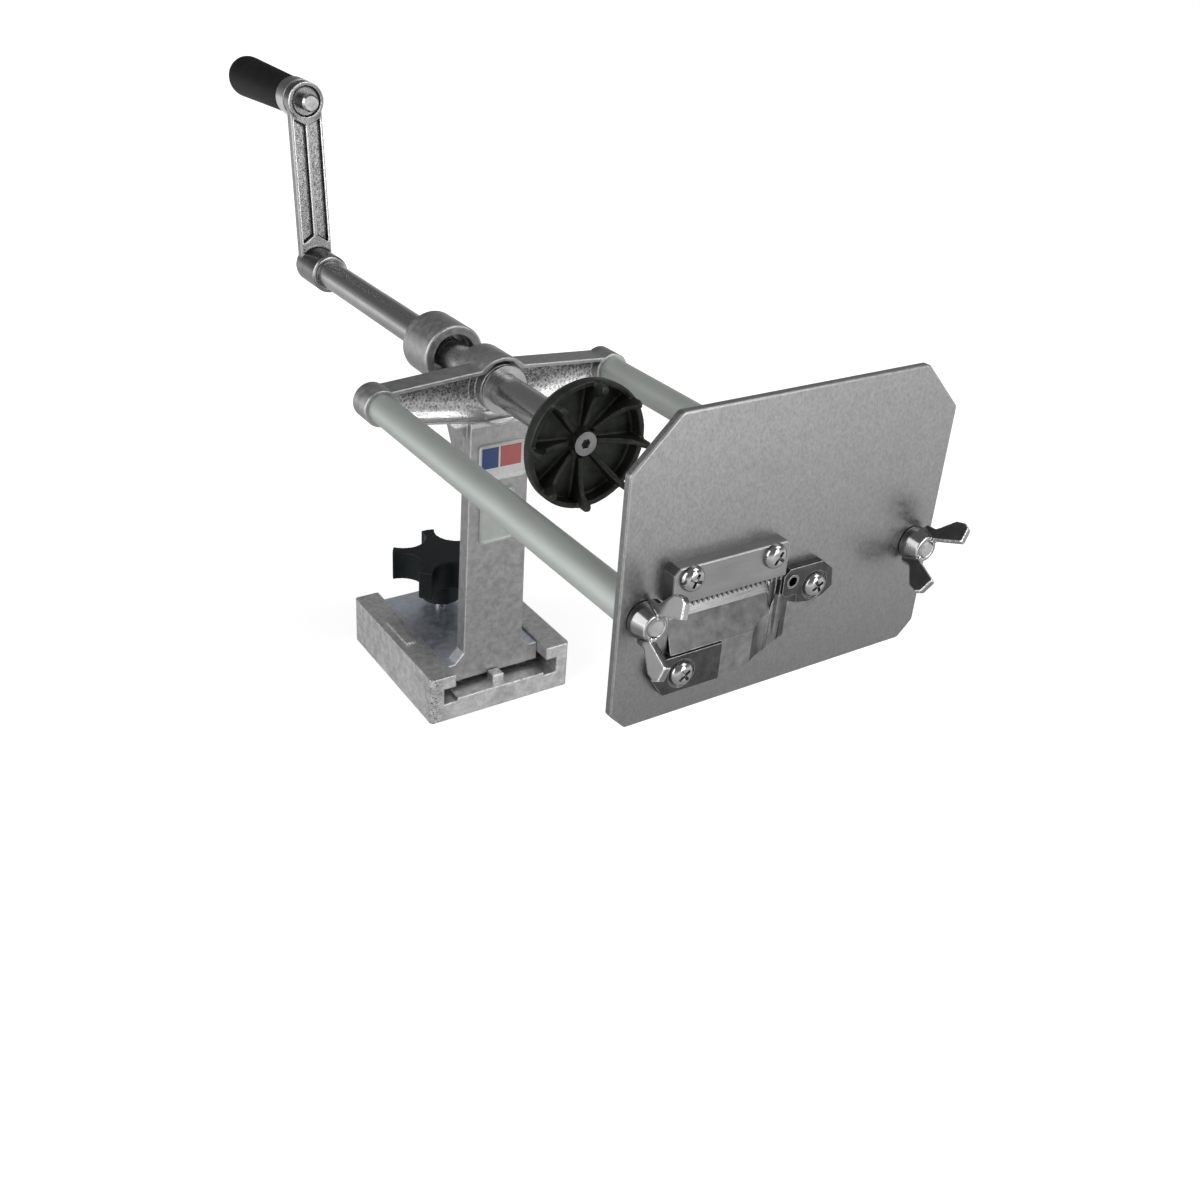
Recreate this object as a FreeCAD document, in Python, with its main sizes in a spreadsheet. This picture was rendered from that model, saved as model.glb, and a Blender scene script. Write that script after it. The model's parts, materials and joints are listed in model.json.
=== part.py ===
import FreeCAD, Part
import math
import os
import re
import Sketcher

# Hand cranked vegetable spiralizer.
# Frame: origin at the middle of the base casting's underside, +Z up, the blades face -Y,
# the crank stands at +Y. Lengths are millimetres, angles degrees.

Vector = FreeCAD.Vector
doc = FreeCAD.newDocument("spiralizer")

# ---------------------------------------------------------------- driving dimensions

SIZES = (
    # base casting, a T-slot channel that screws to a table
    ("base_len", 111.6, "length of the channel"),
    ("base_wid", 97.5, "width of the channel"),
    ("base_high", 31.2, "height of the channel"),
    ("slot_wid", 64.2, "opening between the two lips"),
    ("lip_high", 8.3, "thickness of the lips"),
    ("under_wid", 80.0, "width of the slot under the lips"),
    ("floor_high", 13.8, "height of the raised floor"),
    ("floor_wid", 61.6, "width of the raised floor"),
    ("strip_drop", 2.0, "how far the floor's side strips lie lower"),
    ("base_round", 2.5, "corner rounding of the base"),
    ("pad_back", 3.0, "cast pad, behind the origin"),
    ("screw_dx", 46.6, "table screws, spacing across"),
    ("screw_dy", 80.0, "table screws, spacing along"),
    ("screw_hole", 7.0, "diameter of the table screw holes"),
    ("pad_len", 29.0, "cast pad on the left lip, length"),
    ("pad_wid", 6.6, "cast pad, width"),
    ("pad_high", 0.8, "cast pad, height"),
    ("peg_side", 7.5, "stop peg, side of the square head"),
    ("peg_high", 5.8, "stop peg, height of the head"),
    ("peg_stem", 5.0, "stop peg, stem diameter"),
    ("peg_deep", 8.0, "stop peg, stem length"),
    ("peg_gap", 0.5, "stop peg to foot"),
    # fits
    ("gap_free", 0.3, "clearance between pieces that move past each other"),
    ("gap_fit", 0.05, "radial clearance of a running or seated round fit"),
    # frame casting
    ("shaft_high", 205.5, "height of the shaft axis"),
    ("front_face", 43.7, "front face of the casting, ahead of the origin"),
    ("arm_deep", 14.7, "cross arm, front to back"),
    ("arm_proud", 1.0, "cross arm, ahead of the column's front"),
    ("arm_rise", 8.2, "cross arm, top edge above the shaft axis at the rods"),
    ("arm_crown", 13.2, "cross arm, top edge above the shaft axis at the middle"),
    ("arm_low", 9.9, "cross arm, lower edge below the shaft axis at the rods"),
    ("arm_drop", 18.7, "cross arm, lower edge below the shaft axis beside the belly"),
    ("web_sink", 7.0, "recess of the cross arm's front web"),
    ("web_curl", 8.5, "height over which the web curls forward to the lower edge"),
    ("web_lip", 0.8, "front of the arm's lower edge, below the web"),
    ("web_inset", 4.0, "end of the web, inside the rod boss"),
    ("flange_high", 2.2, "top flange of the cross arm"),
    ("collar_wall", 1.8, "rim of the flange over the front boss"),
    ("belly_out", 11.0, "round belly under the front boss, half its width"),
    ("belly_low", 22.0, "round belly, lowest point below the shaft axis"),
    ("end_boss", 20.4, "rod boss diameter"),
    ("end_boss_out", 1.3, "rod boss and front boss, ahead of the column's front"),
    ("column_wid", 40.8, "column width at the foot"),
    ("column_top", 37.8, "column width under the arm"),
    ("column_deep", 9.2, "column plate thickness"),
    ("gusset", 15.5, "gusset behind each side of the column's head"),
    ("bury", 0.2, "how far a form starts inside the one that carries it"),
    ("rib_wid", 9.0, "rib behind the column and under the bearings"),
    ("rib_deep", 26.5, "depth of the rib behind the column"),
    ("foot_high", 29.8, "top of the foot"),
    ("foot_low", 17.5, "underside of the foot"),
    ("foot_len", 91.2, "length of the foot"),
    ("flange_back", 21.0, "the foot's side flanges start behind its front"),
    ("flare", 6.0, "45 degree flare where the column meets the foot"),
    ("front_boss", 36.2, "front bearing boss diameter"),
    ("front_boss_len", 29.0, "front bearing boss, length"),
    ("boss_edge", 2.4, "bevel at the rear of the bearing bosses"),
    ("rear_boss", 38.4, "rear bearing boss diameter"),
    ("rear_boss_len", 32.5, "rear bearing boss length"),
    ("boss_space", 28.7, "space between the two bearing bosses"),
    ("mouth_dia", 27.5, "counterbore at the front of the rear boss"),
    ("mouth_deep", 8.0, "depth of that counterbore"),
    # bushes and shaft
    ("bush_dia", 25.4, "outer diameter of the bushes"),
    ("bush_flange", 28.2, "flange diameter of the front bush"),
    ("bush_lip", 2.0, "flange thickness"),
    ("bush_len", 24.0, "front bush, length in its boss"),
    ("rear_bush_len", 20.0, "rear bush length"),
    ("shaft_dia", 19.05, "shaft diameter"),
    ("shaft_front", 122.0, "front end of the shaft, ahead of the origin"),
    # gripping cup
    ("cup_front", 132.5, "rim plane, ahead of the origin"),
    ("cup_dia", 69.6, "rim diameter"),
    ("cup_band", 5.8, "rim band"),
    ("cup_wall", 3.0, "wall of the cup"),
    ("cup_hub", 31.0, "hub diameter"),
    ("cup_hub_len", 16.0, "hub, behind the cup floor"),
    ("cup_floor", 124.5, "inside floor of the cup, ahead of the origin"),
    ("fin_thick", 3.0, "thickness of a gripping fin"),
    ("fin_reach", 8.3, "prong, ahead of the rim"),
    ("fin_count", 8, "number of fins"),
    ("cup_bolt_dia", 8.0, "bolt that holds the cup"),
    ("cup_bolt_head", 13.0, "its head diameter"),
    ("cup_bolt_len", 20.0, "its shank length"),
    ("cup_bolt_high", 5.5, "its head height"),
    ("cup_turn", 5.0, "angle at which the fins stand"),
    # guide rods
    ("rod_dia", 15.9, "guide rod diameter"),
    ("rod_span", 147.0, "between the rod axes"),
    ("rod_stud", 7.94, "threaded end diameter"),
    ("rod_spigot", 10.0, "rear spigot diameter"),
    ("rod_spigot_len", 12.0, "rear spigot length"),
    ("stud_reach", 9.6, "threaded end, ahead of the plate"),
    ("rod_edge", 0.8, "bevel of the rods' threaded ends and of the shaft"),
    # face plate
    ("plate_front", 284.2, "front face of the plate, ahead of the origin"),
    ("plate_wid", 170.4, "plate width"),
    ("plate_thick", 4.0, "plate thickness"),
    ("plate_rise", 84.5, "plate above the shaft axis"),
    ("plate_drop", 51.6, "plate below the shaft axis"),
    ("plate_cut", 21.7, "top corners"),
    ("plate_nip", 7.9, "bottom corners"),
    ("plate_edge", 0.5, "bevel round the plate's faces"),
    ("win_left", 60.0, "outlet window, left side from the axis"),
    ("win_right", 5.0, "outlet window, right side from the axis"),
    ("win_top", 4.2, "outlet window, top above the axis"),
    ("win_low", 20.0, "outlet window, bottom below the axis"),
    ("win_round", 0.6, "corner radius of the window"),
    # blade set
    ("bar_left", 65.0, "comb bar, left end"),
    ("bar_right", 6.7, "comb bar, right end"),
    ("bar_low", 5.8, "comb bar, lower edge above the axis"),
    ("bar_top", 22.1, "comb bar, upper edge above the axis"),
    ("bar_thick", 6.7, "comb bar thickness"),
    ("bar_clip", 2.8, "comb bar, clipped upper left corner"),
    ("bar_edge", 0.4, "bevel round the comb bar's face"),
    ("bar_wall", 0.8, "comb bar, right of the comb"),
    ("comb_deep", 5.9, "depth of the comb teeth"),
    ("comb_root", 4.0, "height of the comb's back in the bar"),
    ("tooth_long", 2.5, "length of a comb tooth"),
    ("tooth_wide", 0.9, "width of a comb tooth"),
    ("tooth_pitch", 2.5, "pitch of the comb teeth"),
    ("tooth_count", 20, "number of comb teeth"),
    ("tooth_first", 55.8, "first tooth, left of the axis"),
    ("comb_screw_left", 56.7, "left comb screw, left of the axis"),
    ("comb_screw_right", 15.0, "right comb screw, left of the axis"),
    ("comb_screw_high", 17.1, "comb screws, above the axis"),
    ("holder_thick", 4.2, "blade holder, thickness at its lugs"),
    ("holder_base", 2.6, "blade holder, thickness between its lugs"),
    ("lug_left", 34.0, "right end of the left lug, left of the axis"),
    ("holder_left", 69.2, "blade holder, left end"),
    ("holder_low", 37.9, "blade holder, lower edge below the axis"),
    ("holder_right", 23.7, "right end of the holder's lug"),
    ("holder_top", 5.9, "top of the lug above the axis"),
    ("holder_screw_left", 54.2, "left holder screw, left of the axis"),
    ("holder_screw_low", 29.2, "left holder screw, below the axis"),
    ("lug_screw_right", 12.9, "lug screw, right of the axis"),
    ("lug_screw_low", 4.6, "lug screw, below the axis"),
    ("ramp_inset", 0.5, "ramp, clear of the window's left side"),
    ("ramp_short", 2.0, "ramp, clear of the window's right side"),
    ("scoop_radius", 22.0, "polished scoop beside the ramp, radius"),
    ("scoop_left", 8.0, "centre of the scoop, left of the axis"),
    ("scoop_low", 23.0, "centre of the scoop, below the axis"),
    ("scoop_deep", 1.7, "depth of the scoop in the holder"),
    ("scoop_high", 32.0, "height of the scoop, out through the lower edge"),
    ("knife_thick", 1.2, "slicing knife thickness"),
    ("knife_wide", 9.5, "slicing knife, root to edge"),
    ("knife_over", 2.5, "knife edge beyond the ramp"),
    ("ramp_back", 4.6, "top of the ramp, behind the plate's front face"),
    ("ramp_top", 0.5, "top of the ramp above the axis"),
    ("ramp_low", 20.4, "foot of the ramp below the axis"),
    ("pin_dia", 6.4, "centring tube diameter"),
    ("pin_bore", 4.4, "centring tube bore"),
    ("pin_proud", 0.5, "centring tube, ahead of the blade holder"),
    ("pin_back", 12.0, "centring tube, behind the plate"),
    ("blade_screw", 5.0, "blade screw diameter"),
    ("blade_head", 11.25, "blade screw head diameter"),
    ("blade_head_high", 3.3, "blade screw head height"),
    ("ring_dia", 13.3, "recess round the lower screws"),
    ("ring_deep", 0.8, "depth of that recess"),
    # wing nuts
    ("nut_base", 16.0, "wing nut hub, diameter at its foot"),
    ("nut_top", 11.8, "wing nut hub, diameter at its top"),
    ("nut_high", 8.8, "wing nut hub height"),
    ("wing_span", 36.8, "wing nut, tip to tip"),
    ("wing_high", 21.8, "wing nut, over the wings"),
    ("wing_thick", 3.4, "wing thickness"),
    ("wing_heel", 19.8, "width over the wings' heels, beside the comb bar"),
    ("wing_clear", 7.4, "underside of the wings outside their heels, above the hub's foot"),
    ("left_turn", 75.0, "angle at which the left nut stands"),
    ("right_turn", 49.0, "angle at which the right nut stands"),
    # crank
    ("crank_front", 196.7, "front of the crank hub"),
    ("crank_hub", 26.2, "crank hub diameter"),
    ("crank_hub_len", 32.3, "crank hub length"),
    ("crank_bore_len", 25.0, "depth of the shaft in the crank hub"),
    ("crank_throw", 110.0, "shaft axis to grip axis"),
    ("crank_arm_y", 219.8, "front face of the arm at the shaft axis"),
    ("crank_lean", 6.2, "angle at which the arm leans back"),
    ("crank_wid", 22.9, "arm width"),
    ("crank_thick", 8.3, "arm thickness"),
    ("crank_rim", 2.1, "rim of the arm"),
    ("crank_rib", 2.6, "middle rib of the arm"),
    ("crank_sink", 4.2, "recess between rim and rib"),
    ("crank_edge", 1.2, "bevel along the arm"),
    ("eye_dia", 25.4, "eye at the end of the arm"),
    ("eye_front", 230.5, "front face of the eye"),
    ("eye_len", 10.0, "length of the eye"),
    ("eye_sink", 2.2, "recess in the eye's face"),
    ("eye_rim", 2.6, "rim round that recess"),
    ("set_dia", 6.0, "crank set screw diameter"),
    ("set_len", 4.0, "crank set screw length"),
    ("set_back", 12.0, "crank set screw, behind the front of the hub"),
    # grip
    ("bolt_dia", 8.0, "grip bolt diameter"),
    ("bolt_head", 11.7, "grip bolt head diameter"),
    ("bolt_head_len", 10.3, "grip bolt head length"),
    ("ferrule_dia", 26.2, "ferrule diameter"),
    ("ferrule_len", 12.8, "ferrule length"),
    ("grip_len", 102.0, "grip length"),
    ("grip_neck", 24.4, "grip diameter at the ferrule end"),
    ("grip_belly", 29.2, "largest grip diameter"),
    ("grip_wall", 12.0, "solid end of the grip"),
    # clamp knob
    ("knob_back", 26.7, "knob axis, behind the origin"),
    ("knob_hub", 26.2, "knob hub diameter"),
    ("knob_low", 35.8, "underside of the knob hub"),
    ("star_low", 49.8, "underside of the star"),
    ("star_top", 69.0, "top of the star"),
    ("star_dia", 63.0, "diameter over the lobes"),
    ("star_valley", 16.4, "knob axis to the bottom of a valley between two lobes"),
    ("star_tip", 9.6, "width of a lobe at its end"),
    ("star_lobes", 5, "number of lobes"),
    ("star_turn", 8.0, "angle at which the star stands"),
    ("stud_dia", 9.4, "knob stud diameter"),
    ("stud_in", 20.0, "stud length inside the knob"),
)

sheet = doc.addObject("Spreadsheet::Sheet", "Sizes")
for row, (alias, size, note) in enumerate(SIZES, start=1):
    sheet.set("A%d" % row, alias)
    sheet.set("B%d" % row, str(size))
    sheet.set("C%d" % row, note)
    sheet.setAlias("B%d" % row, alias)
doc.recompute()

ALIAS = re.compile(r"\b(" + "|".join(alias for alias, _, _ in SIZES) + r")\b")


def bound(formula):
    """A formula in plain aliases, as an expression that reads the sheet."""
    return ALIAS.sub(r"Sizes.\1", str(formula))


def size_of(formula):
    """The present value of a formula."""
    return float(sheet.evalExpression(bound(formula)))


# ---------------------------------------------------------------- modelling helpers

def new_body(label, x=0, y=0, z=0):
    """A body whose own origin stands at (x, y, z) of the whole."""
    body = doc.addObject("PartDesign::Body", label)
    body.Label = label
    for axis, formula in zip("xyz", (x, y, z)):
        if formula != 0:
            body.setExpression("Placement.Base." + axis, bound(formula))
    return body


def new_sketch(body, name, plane, offset=(0, 0, 0)):
    """A sketch on one of the body's origin planes, moved by offset in the sketch's own axes."""
    sketch = body.newObject("Sketcher::SketchObject", name)
    support = next(item for item in body.Origin.OriginFeatures if item.Role == plane)
    sketch.AttachmentSupport = [(support, "")]
    sketch.MapMode = "FlatFace"
    for axis, formula in zip("xyz", offset):
        if formula != 0:
            sketch.setExpression("AttachmentOffset.Base." + axis, bound(formula))
    return sketch


def pin_point(sketch, geometry, which, x, y):
    """Holds a point of the sketch at the two formulas."""
    for kind, formula in (("DistanceX", x), ("DistanceY", y)):
        value = size_of(formula)
        rule = Sketcher.Constraint(kind, -1, 1, geometry, which, value)
        index = sketch.addConstraint(rule)
        sketch.setExpression("Constraints[%d]" % index, bound(formula))


def outline(sketch, points):
    """A closed outline of straight sides through points given as formulas."""
    places = [Vector(size_of(x), size_of(y), 0) for x, y in points]
    first = sketch.GeometryCount
    for start, end in zip(places, places[1:] + places[:1]):
        sketch.addGeometry(Part.LineSegment(start, end))
    count = len(points)
    for index, (x, y) in enumerate(points):
        before = first + (index - 1) % count
        sketch.addConstraint(Sketcher.Constraint("Coincident", before, 2, first + index, 1))
        pin_point(sketch, first + index, 1, x, y)


def ring(sketch, x, y, diameter):
    """A circle given by formulas."""
    centre = Vector(size_of(x), size_of(y), 0)
    circle = Part.Circle(centre, Vector(0, 0, 1), size_of(diameter) / 2)
    index = sketch.addGeometry(circle)
    pin_point(sketch, index, 3, x, y)
    rule = Sketcher.Constraint("Diameter", index, size_of(diameter))
    number = sketch.addConstraint(rule)
    sketch.setExpression("Constraints[%d]" % number, bound(diameter))


def box_outline(sketch, x_low, y_low, x_high, y_high):
    outline(sketch, ((x_low, y_low), (x_high, y_low), (x_high, y_high), (x_low, y_high)))


def finish(body, feature):
    body.Tip = feature
    doc.recompute()
    return feature


def pad(body, sketch, length, midplane=False, backward=False):
    """Extrudes a sketch; backward means against the sketch's normal."""
    feature = body.newObject("PartDesign::Pad", sketch.Name + "_pad")
    feature.Profile = sketch
    feature.setExpression("Length", bound(length))
    feature.Midplane = midplane
    feature.Reversed = backward
    return finish(body, feature)


def pocket(body, sketch, length=None, midplane=False, forward=False):
    """Cuts a sketch against its normal, or along it; with no length, through everything."""
    feature = body.newObject("PartDesign::Pocket", sketch.Name + "_cut")
    feature.Profile = sketch
    if length is None:
        feature.Type = "ThroughAll"
    else:
        feature.setExpression("Length", bound(length))
    feature.Midplane = midplane
    feature.Reversed = forward
    return finish(body, feature)


def turned(body, sketch, cut=False, upright=False):
    """Revolves a sketch about its own horizontal axis, or its vertical one."""
    kind = "Groove" if cut else "Revolution"
    feature = body.newObject("PartDesign::" + kind, sketch.Name + "_" + kind.lower())
    feature.Profile = sketch
    feature.ReferenceAxis = (sketch, ["V_Axis" if upright else "H_Axis"])
    feature.Angle = 360
    return finish(body, feature)


def edges_where(feature, test):
    return ["Edge%d" % number for number, edge in enumerate(feature.Shape.Edges, start=1) if test(edge)]


def rounded(body, base, test, radius):
    """Rounds the edges of base that pass the test."""
    names = edges_where(base, test)
    feature = body.newObject("PartDesign::Fillet", base.Name + "_round")
    feature.Base = (base, names)
    feature.setExpression("Radius", bound(radius))
    return finish(body, feature)


def bevelled(body, base, test, width):
    names = edges_where(base, test)
    feature = body.newObject("PartDesign::Chamfer", base.Name + "_bevel")
    feature.Base = (base, names)
    feature.setExpression("Size", bound(width))
    return finish(body, feature)


def runs_along(edge, axis):
    """True for a straight edge parallel to the axis vector."""
    if not isinstance(edge.Curve, Part.Line):
        return False
    return edge.tangentAt(edge.FirstParameter).cross(axis).Length < 1e-6


def middle(edge):
    return edge.valueAt((edge.FirstParameter + edge.LastParameter) / 2)


def round_edge(edge, diameter, y):
    """True for a circle about the body's own Y direction, of that diameter at that y."""
    if not isinstance(edge.Curve, Part.Circle):
        return False
    same = abs(edge.Curve.Radius - diameter / 2) < 1e-3
    return same and abs(edge.Curve.Center.y - y) < 1e-3


X_AXIS = Vector(1, 0, 0)
Y_AXIS = Vector(0, 1, 0)
Z_AXIS = Vector(0, 0, 1)

nodes = []


def keep(item):
    """Marks an object as one of the pieces that are written out."""
    nodes.append(item)
    return item


# ---------------------------------------------------------------- base

def make_channel_base():
    body = new_body("channel_base")
    section = new_sketch(body, "channel_section", "XZ_Plane")
    right = [
        ("base_wid/2", "0"),
        ("base_wid/2", "base_high"),
        ("slot_wid/2", "base_high"),
        ("slot_wid/2", "base_high-lip_high"),
        ("under_wid/2", "base_high-lip_high"),
        ("under_wid/2", "floor_high-strip_drop"),
        ("floor_wid/2", "floor_high-strip_drop"),
        ("floor_wid/2", "floor_high"),
    ]
    left = [("-" + x, z) for x, z in reversed(right)]
    outline(section, right + left)
    channel = pad(body, section, "base_len", midplane=True)
    corner = size_of("base_wid/2")

    def outer_corner(edge):
        return runs_along(edge, Z_AXIS) and abs(abs(middle(edge).x) - corner) < 1e-3

    rounded(body, channel, outer_corner, "base_round")
    pad_sketch = new_sketch(body, "lip_pad", "XY_Plane", ("-(base_wid+slot_wid)/4", "pad_back", "base_high"))
    box_outline(pad_sketch, "-pad_wid/2", "-pad_len/2", "pad_wid/2", "pad_len/2")
    pad(body, pad_sketch, "pad_high")
    holes = new_sketch(body, "table_screw_holes", "XY_Plane")
    for side in ("-", ""):
        for end in ("-", ""):
            ring(holes, side + "screw_dx/2", end + "screw_dy/2", "screw_hole")
    pocket(body, holes, "floor_high", forward=True)
    socket = new_sketch(body, "peg_socket", "XY_Plane", (0, "-(front_face+peg_gap+peg_side/2)", "floor_high"))
    ring(socket, 0, 0, "peg_stem+2*gap_fit")
    pocket(body, socket, "peg_deep+gap_free")
    return keep(body)


def make_stop_peg():
    body = new_body("stop_peg", 0, "-(front_face+peg_gap+peg_side/2)", "floor_high")
    head = new_sketch(body, "peg_head", "XY_Plane")
    box_outline(head, "-peg_side/2", "-peg_side/2", "peg_side/2", "peg_side/2")
    block = pad(body, head, "peg_high")
    top = size_of("peg_high")
    bevelled(body, block, lambda edge: abs(middle(edge).z - top) < 1e-3, "peg_gap")
    stem = new_sketch(body, "peg_stem_section", "XY_Plane")
    ring(stem, 0, 0, "peg_stem")
    pad(body, stem, "peg_deep", backward=True)
    return keep(body)


# ---------------------------------------------------------------- frame casting

ARM_FRONT = "(front_face+arm_proud)"
HEAD = (0, "shaft_high", ARM_FRONT)  # sketch offset: shaft axis height, front face of the cross arm


def cut_web(body, side):
    """Hollows one arm in front: a deep web that curls forward to the arm's lower edge."""
    fall = "(arm_crown-arm_rise)/(rod_span/2)"
    lean = "(arm_drop-arm_low)/(rod_span/2-belly_out)"
    hood = "(front_boss/2-collar_wall)"
    stations = (
        ("(rod_span/2-web_inset)", "arm_crown-%s*(rod_span/2-web_inset)-flange_high" % fall,
         "(arm_low+%s*web_inset)" % lean),
        ("belly_out", "arm_crown-%s*belly_out-flange_high" % fall, "arm_drop"),
        ("(belly_out/2)", hood + "*0.94", "(belly_low*0.965)"),
        ("0", hood, "belly_low"),
    )
    sections = []
    for number, (out, top, low) in enumerate(stations):
        name = "web_%s_%d" % ("left" if side else "right", number)
        section = new_sketch(body, name, "YZ_Plane", (0, 0, side + out))
        low = "(shaft_high-%s)" % low
        outline(section, (
            ("-" + ARM_FRONT + "-arm_proud", "shaft_high+" + top),
            ("-" + ARM_FRONT + "+web_sink", "shaft_high+" + top),
            ("-" + ARM_FRONT + "+web_sink", low + "+web_curl"),
            ("-" + ARM_FRONT + "+web_sink*0.86", low + "+web_curl*0.62"),
            ("-" + ARM_FRONT + "+web_sink*0.5", low + "+web_curl*0.3"),
            ("-" + ARM_FRONT, low + "+web_lip"),
            ("-" + ARM_FRONT + "-arm_proud", low + "+web_lip"),
        ))
        sections.append(section)
    hollow = body.newObject("PartDesign::SubtractiveLoft", "web_cut_%s" % ("left" if side else "right"))
    hollow.Profile = sections[0]
    hollow.Sections = sections[1:]
    hollow.Ruled = True
    finish(body, hollow)


def make_frame_casting():
    body = new_body("frame_casting")
    arm = new_sketch(body, "cross_arm", "XZ_Plane", HEAD)
    right = [
        ("rod_span/2", "arm_rise"),
        ("rod_span/2", "-arm_low"),
        ("belly_out", "-arm_drop"),
        ("belly_out/2", "-belly_low*0.965"),
    ]
    left = [("-" + x, z) for x, z in reversed(right)]
    outline(arm, [("0", "arm_crown")] + right + [("0", "-belly_low")] + left)
    pad(body, arm, "arm_deep", backward=True)
    collar = new_sketch(body, "boss_collar", "XZ_Plane", HEAD)
    ring(collar, 0, 0, "front_boss")
    pad(body, collar, "arm_deep", backward=True)
    for side in ("", "-"):
        cut_web(body, side)

    column = new_sketch(body, "column_front", "XZ_Plane", (0, 0, "front_face"))
    outline(column, (
        ("-column_top/2", "shaft_high-arm_drop+web_lip/2"),
        ("-column_wid/2", "foot_high+flare"),
        ("-(column_wid/2+flare)", "foot_high-bury"),
        ("column_wid/2+flare", "foot_high-bury"),
        ("column_wid/2", "foot_high+flare"),
        ("column_top/2", "shaft_high-arm_drop+web_lip/2"),
    ))
    pad(body, column, "column_deep", backward=True)
    head = (0, "shaft_high-arm_drop", "front_face-column_deep/2")
    gussets = new_sketch(body, "column_head", "XZ_Plane", head)
    outline(gussets, (
        ("-(column_top/2+gusset)", "arm_drop-arm_low-flange_high*2"),
        ("-column_top/2", "arm_drop-arm_low-flange_high*2-gusset"),
        ("column_top/2", "arm_drop-arm_low-flange_high*2-gusset"),
        ("column_top/2+gusset", "arm_drop-arm_low-flange_high*2"),
    ))
    pad(body, gussets, "column_deep/2", backward=True)

    foot = new_sketch(body, "foot_block", "XY_Plane", (0, "-front_face", "foot_low"))
    box_outline(foot, "-(slot_wid/2-gap_free)", "0", "slot_wid/2-gap_free", "foot_len")
    pad(body, foot, "foot_high-foot_low")
    flanges = new_sketch(body, "foot_flanges", "XY_Plane", (0, "-front_face", "foot_low"))
    box_outline(flanges, "-(under_wid/2-gap_free)", "flange_back", "under_wid/2-gap_free", "foot_len")
    pad(body, flanges, "base_high-lip_high-gap_free-foot_low")

    # the rib stiffens the column from behind and carries the rear bearing from below
    rib = new_sketch(body, "bearing_rib", "YZ_Plane")
    rear_boss_y = "(front_boss_len+boss_space-front_face-end_boss_out)"
    rib_top = "shaft_high-(rear_boss+bush_dia)/4"
    outline(rib, (
        ("-front_face+column_deep/2", "foot_high-bury"),
        ("-front_face+column_deep+rib_deep", "foot_high-bury"),
        ("-front_face+column_deep+rib_deep", "shaft_high*0.62"),
        (rear_boss_y + "+rear_boss_len/3", "shaft_high-rear_boss*0.65"),
        (rear_boss_y + "+rear_boss_len/3", rib_top),
        ("-front_face+column_deep/2", rib_top),
    ))
    pad(body, rib, "rib_wid", midplane=True)

    for side in ("", "-"):
        boss = new_sketch(body, "rod_boss_%s" % ("left" if side else "right"), "XZ_Plane",
                          (0, "shaft_high", "front_face+end_boss_out"))
        ring(boss, side + "rod_span/2", 0, "end_boss")
        stub = pad(body, boss, "arm_deep+2*arm_proud", backward=True)
        rear = size_of("arm_deep+2*arm_proud-front_face-end_boss_out")
        bevelled(body, stub, lambda edge: round_edge(edge, size_of("end_boss"), rear), "end_boss_out")
        bore = new_sketch(body, "rod_bore_%s" % ("left" if side else "right"), "XZ_Plane",
                          (0, "shaft_high", "front_face+end_boss_out"))
        ring(bore, side + "rod_span/2", 0, "rod_spigot+2*gap_fit")
        pocket(body, bore, "rod_spigot_len+gap_free")

    front_y = "-(front_face+end_boss_out)"
    boss = new_sketch(body, "front_bearing", "YZ_Plane", (front_y, "shaft_high", 0))
    outline(boss, (
        ("0", "0"),
        ("0", "bush_flange/2"),
        ("web_sink", "bush_flange/2"),
        ("web_sink", "front_boss/2"),
        ("front_boss_len-boss_edge", "front_boss/2"),
        ("front_boss_len", "front_boss/2-boss_edge"),
        ("front_boss_len", "0"),
    ))
    turned(body, boss)
    rear = new_sketch(body, "rear_bearing", "YZ_Plane", (rear_boss_y, "shaft_high", 0))
    outline(rear, (
        ("0", "0"),
        ("0", "rear_boss/2-boss_edge/3"),
        ("boss_edge/3", "rear_boss/2"),
        ("rear_boss_len-boss_edge", "rear_boss/2"),
        ("rear_boss_len", "rear_boss/2-boss_edge"),
        ("rear_boss_len", "0"),
    ))
    turned(body, rear)
    bores = new_sketch(body, "bearing_bore", "YZ_Plane", (0, "shaft_high", 0))
    outline(bores, (
        (front_y + "-arm_proud", "0"),
        (front_y + "-arm_proud", "bush_dia/2+gap_fit"),
        (rear_boss_y + "+rear_boss_len+arm_proud", "bush_dia/2+gap_fit"),
        (rear_boss_y + "+rear_boss_len+arm_proud", "0"),
    ))
    turned(body, bores, cut=True)
    mouth = new_sketch(body, "bearing_mouth", "YZ_Plane", (0, "shaft_high", 0))
    outline(mouth, (
        (rear_boss_y, "0"),
        (rear_boss_y, "mouth_dia/2"),
        (rear_boss_y + "+mouth_deep", "mouth_dia/2"),
        (rear_boss_y + "+mouth_deep", "0"),
    ))
    turned(body, mouth, cut=True)
    stud_hole = new_sketch(body, "stud_hole", "XY_Plane", (0, "knob_back", "foot_high"))
    ring(stud_hole, 0, 0, "stud_dia+2*gap_fit")
    pocket(body, stud_hole, "foot_high")
    return keep(body)


# ---------------------------------------------------------------- guide rods and face plate

def make_guide_rod(label, side):
    """A rod with a threaded front end through the plate and a spigot in the casting."""
    body = new_body(label, side + "rod_span/2", 0, "shaft_high")
    section = new_sketch(body, label + "_section", "YZ_Plane")
    front = "(plate_thick-plate_front)"
    back = "(-front_face-end_boss_out)"
    outline(section, (
        ("-plate_front-stud_reach", "0"),
        ("-plate_front-stud_reach", "rod_stud/2-rod_edge"),
        ("-plate_front-stud_reach+rod_edge", "rod_stud/2"),
        (front, "rod_stud/2"),
        (front, "rod_dia/2"),
        (back, "rod_dia/2"),
        (back, "rod_spigot/2"),
        (back + "+rod_spigot_len", "rod_spigot/2"),
        (back + "+rod_spigot_len", "0"),
    ))
    turned(body, section)
    return keep(body)


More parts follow.
